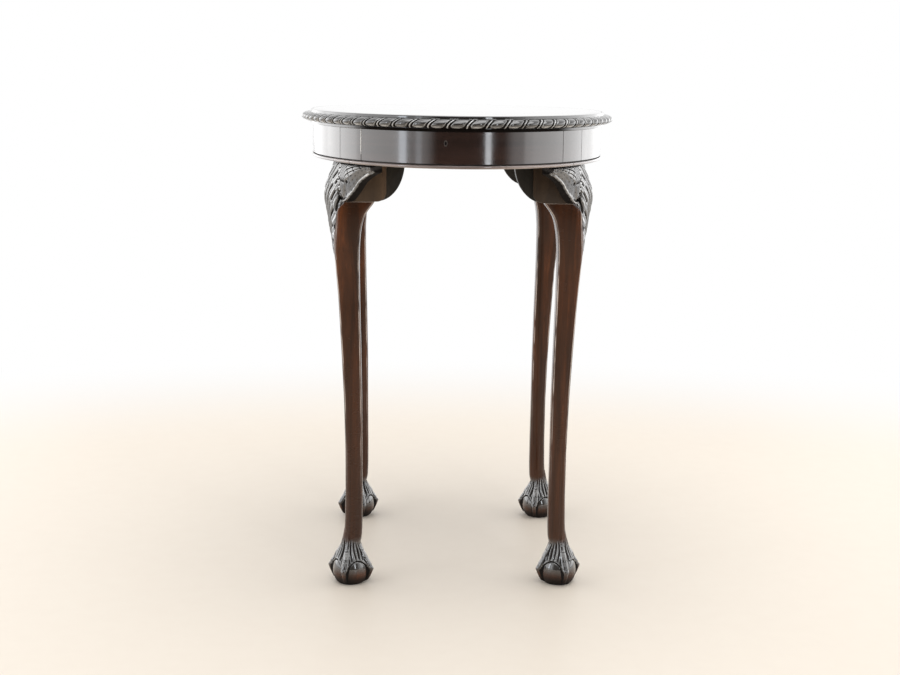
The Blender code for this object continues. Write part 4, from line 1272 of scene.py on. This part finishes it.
# place, aimed at, width and height, power, colour
lamps = {
    "ceilingSoftbox": ((0.2, -0.3, 2.6), (0, 0, 0.5), (2.2, 2.2), 32.0, white),
    "leftWindow": ((-2.60, -1.54, 1.1), (0, 0, 0.5), (0.40, 1.8), 9.5, daylight),
    "leftPane": ((-2.28, -2.36, 1.1), (0, 0, 0.5), (0.34, 1.6), 2.0, daylight),
    "rightWindow": ((1.33, -2.7, 1.1), (0, 0, 0.5), (0.32, 1.5), 9.0, (0.92, 0.96, 1.0)),
    # a row of soft panels on each side, brightest beside the table
    "leftPanelFront": ((-3.0, -0.38, 1.2), (0, -0.38, 1.1), (2.25, 2.0), 12.5, white),
    "leftPanel": ((-3.0, 2.02, 1.2), (0, 2.02, 1.1), (2.55, 2.0), 24.0, white),
    "leftPanelBack": ((-3.0, 6.8, 1.2), (0, 6.8, 1.1), (7.0, 2.0), 44.0, white),
    "rightPanelFront": ((3.0, -1.25, 1.2), (0, -1.25, 1.1), (0.5, 2.0), 2.9, white),
    "rightPanel": ((3.0, 1.0, 1.2), (0, 1.0, 1.1), (4.0, 2.0), 31.0, white),
    "rightPanelBack": ((3.0, 6.5, 1.2), (0, 6.5, 1.1), (7.0, 2.0), 40.0, white),
}
# place in metres, turns in radians: round the table, down from level, about its own axis
view = {"place": (-0.0800, -2.4626, 0.8002), "pan": -0.0300, "down": 0.1766, "roll": 0.0120,
        "lens": 60.0, "sensor": 36.0}


def seenDirectly(tree):
    # what the camera sees, also in a polish or through glass
    rays = tree.nodes.new("ShaderNodeLightPath").outputs
    seen = Field(tree, rays["Is Camera Ray"])
    for name in ("Is Glossy Ray", "Is Transmission Ray"):
        seen = seen.math("MAXIMUM", rays[name])
    return seen


def makeFloor():
    bm = bmesh.new()
    bmesh.ops.create_circle(bm, cap_ends=True, radius=room["floorRadius"], segments=96)
    floor = addObject("floor", meshFrom("floor", bm))
    material, tree, shader, place = newMaterial("paleFloor")
    specks = place.noise(30.0).ramp(0.3, 0.7, 0.0, 0.08)
    colour = specks.mix(opaque(room["floorColour"]), opaque(room["speckColour"]))
    link(tree, colour, shader["Base Color"])
    link(tree, 0.45, shader["Roughness"])
    # far off it is as white as the room, so no horizon shows
    far = place.distance(room["floorCentre"]).ramp(room["plainWithin"], room["whiteBeyond"])
    glow = addNode(tree, "ShaderNodeEmission", Strength=1.0)
    mix = tree.nodes.new("ShaderNodeMixShader")
    shown = (far * seenDirectly(tree), tree.nodes["Principled BSDF"].outputs[0], glow.outputs[0])
    for value, socket in zip(shown, mix.inputs):
        link(tree, value, socket)
    link(tree, mix.outputs[0], tree.nodes["Material Output"].inputs["Surface"])
    floor.data.materials.append(material)


def makeCard():
    # its two ends fade out, so the polish shows no hard step
    bm = bmesh.new()
    columns, cover = [], []
    for turn in np.linspace(-room["cardHalf"], room["cardHalf"], 47):
        angle = math.radians(room["cardTurn"] + turn)
        x, y = room["cardDistance"] * math.sin(angle), -room["cardDistance"] * math.cos(angle)
        columns.append([bm.verts.new((x, y, z)) for z in (0.01, room["cardTop"])])
        cover += [float(ease(room["cardHalf"] - abs(turn), 0, room["cardFade"]))] * 2
    for left, right in zip(columns, columns[1:]):
        bm.faces.new((left[0], right[0], right[1], left[1]))
    card = addObject("darkCard", meshFrom("card", bm))
    card.data.attributes.new("cover", "FLOAT", "POINT").data.foreach_set("value", cover)
    material, tree, shader, place = newMaterial("darkCard")
    for key, value in (("Base Color", opaque(room["cardColour"])), ("Roughness", 0.9),
                       ("Alpha", attributeValue(tree, "cover"))):
        link(tree, value, shader[key])
    card.data.materials.append(material)
    card.visible_camera = False


def makeWorld():
    world = bpy.data.worlds.new("whiteRoom")
    bpy.context.scene.world = world
    world.use_nodes = True
    tree = world.node_tree
    tree.nodes.clear()
    strength = seenDirectly(tree).ramp(0.0, 1.0, room["worldStrength"], 1.0)
    background = addNode(tree, "ShaderNodeBackground", Color=opaque(white), Strength=strength)
    addNode(tree, "ShaderNodeOutputWorld", Surface=background.outputs[0])


def makeLamp(name, place, target, size, power, colour):
    data = bpy.data.lights.new(name, "AREA")
    data.color = colour
    data.shape = "RECTANGLE"
    data.size, data.size_y = size
    data.energy = power
    lamp = addObject(name, data)
    lamp.location = place
    lamp.rotation_euler = (Vector(target) - Vector(place)).to_track_quat("-Z", "Y").to_euler()


def makeCamera():
    data = bpy.data.cameras.new("camera")
    data.lens = view["lens"]
    data.sensor_width = view["sensor"]
    data.clip_start = 0.01
    camera = addObject("camera", data)
    pan, tilt, roll = [Matrix.Rotation(turn, 4, axis) for turn, axis in (
        (view["pan"], "Z"), (math.pi / 2 - view["down"], "X"), (view["roll"], "Z"))]
    camera.matrix_world = Matrix.Translation(view["place"]) @ pan @ tilt @ roll
    bpy.context.scene.camera = camera


makeFloor()
makeCard()
makeWorld()
for name, values in lamps.items():
    makeLamp(name, *values)
makeCamera()
bpy.context.scene.view_settings.view_transform = "Standard"
print("room made")
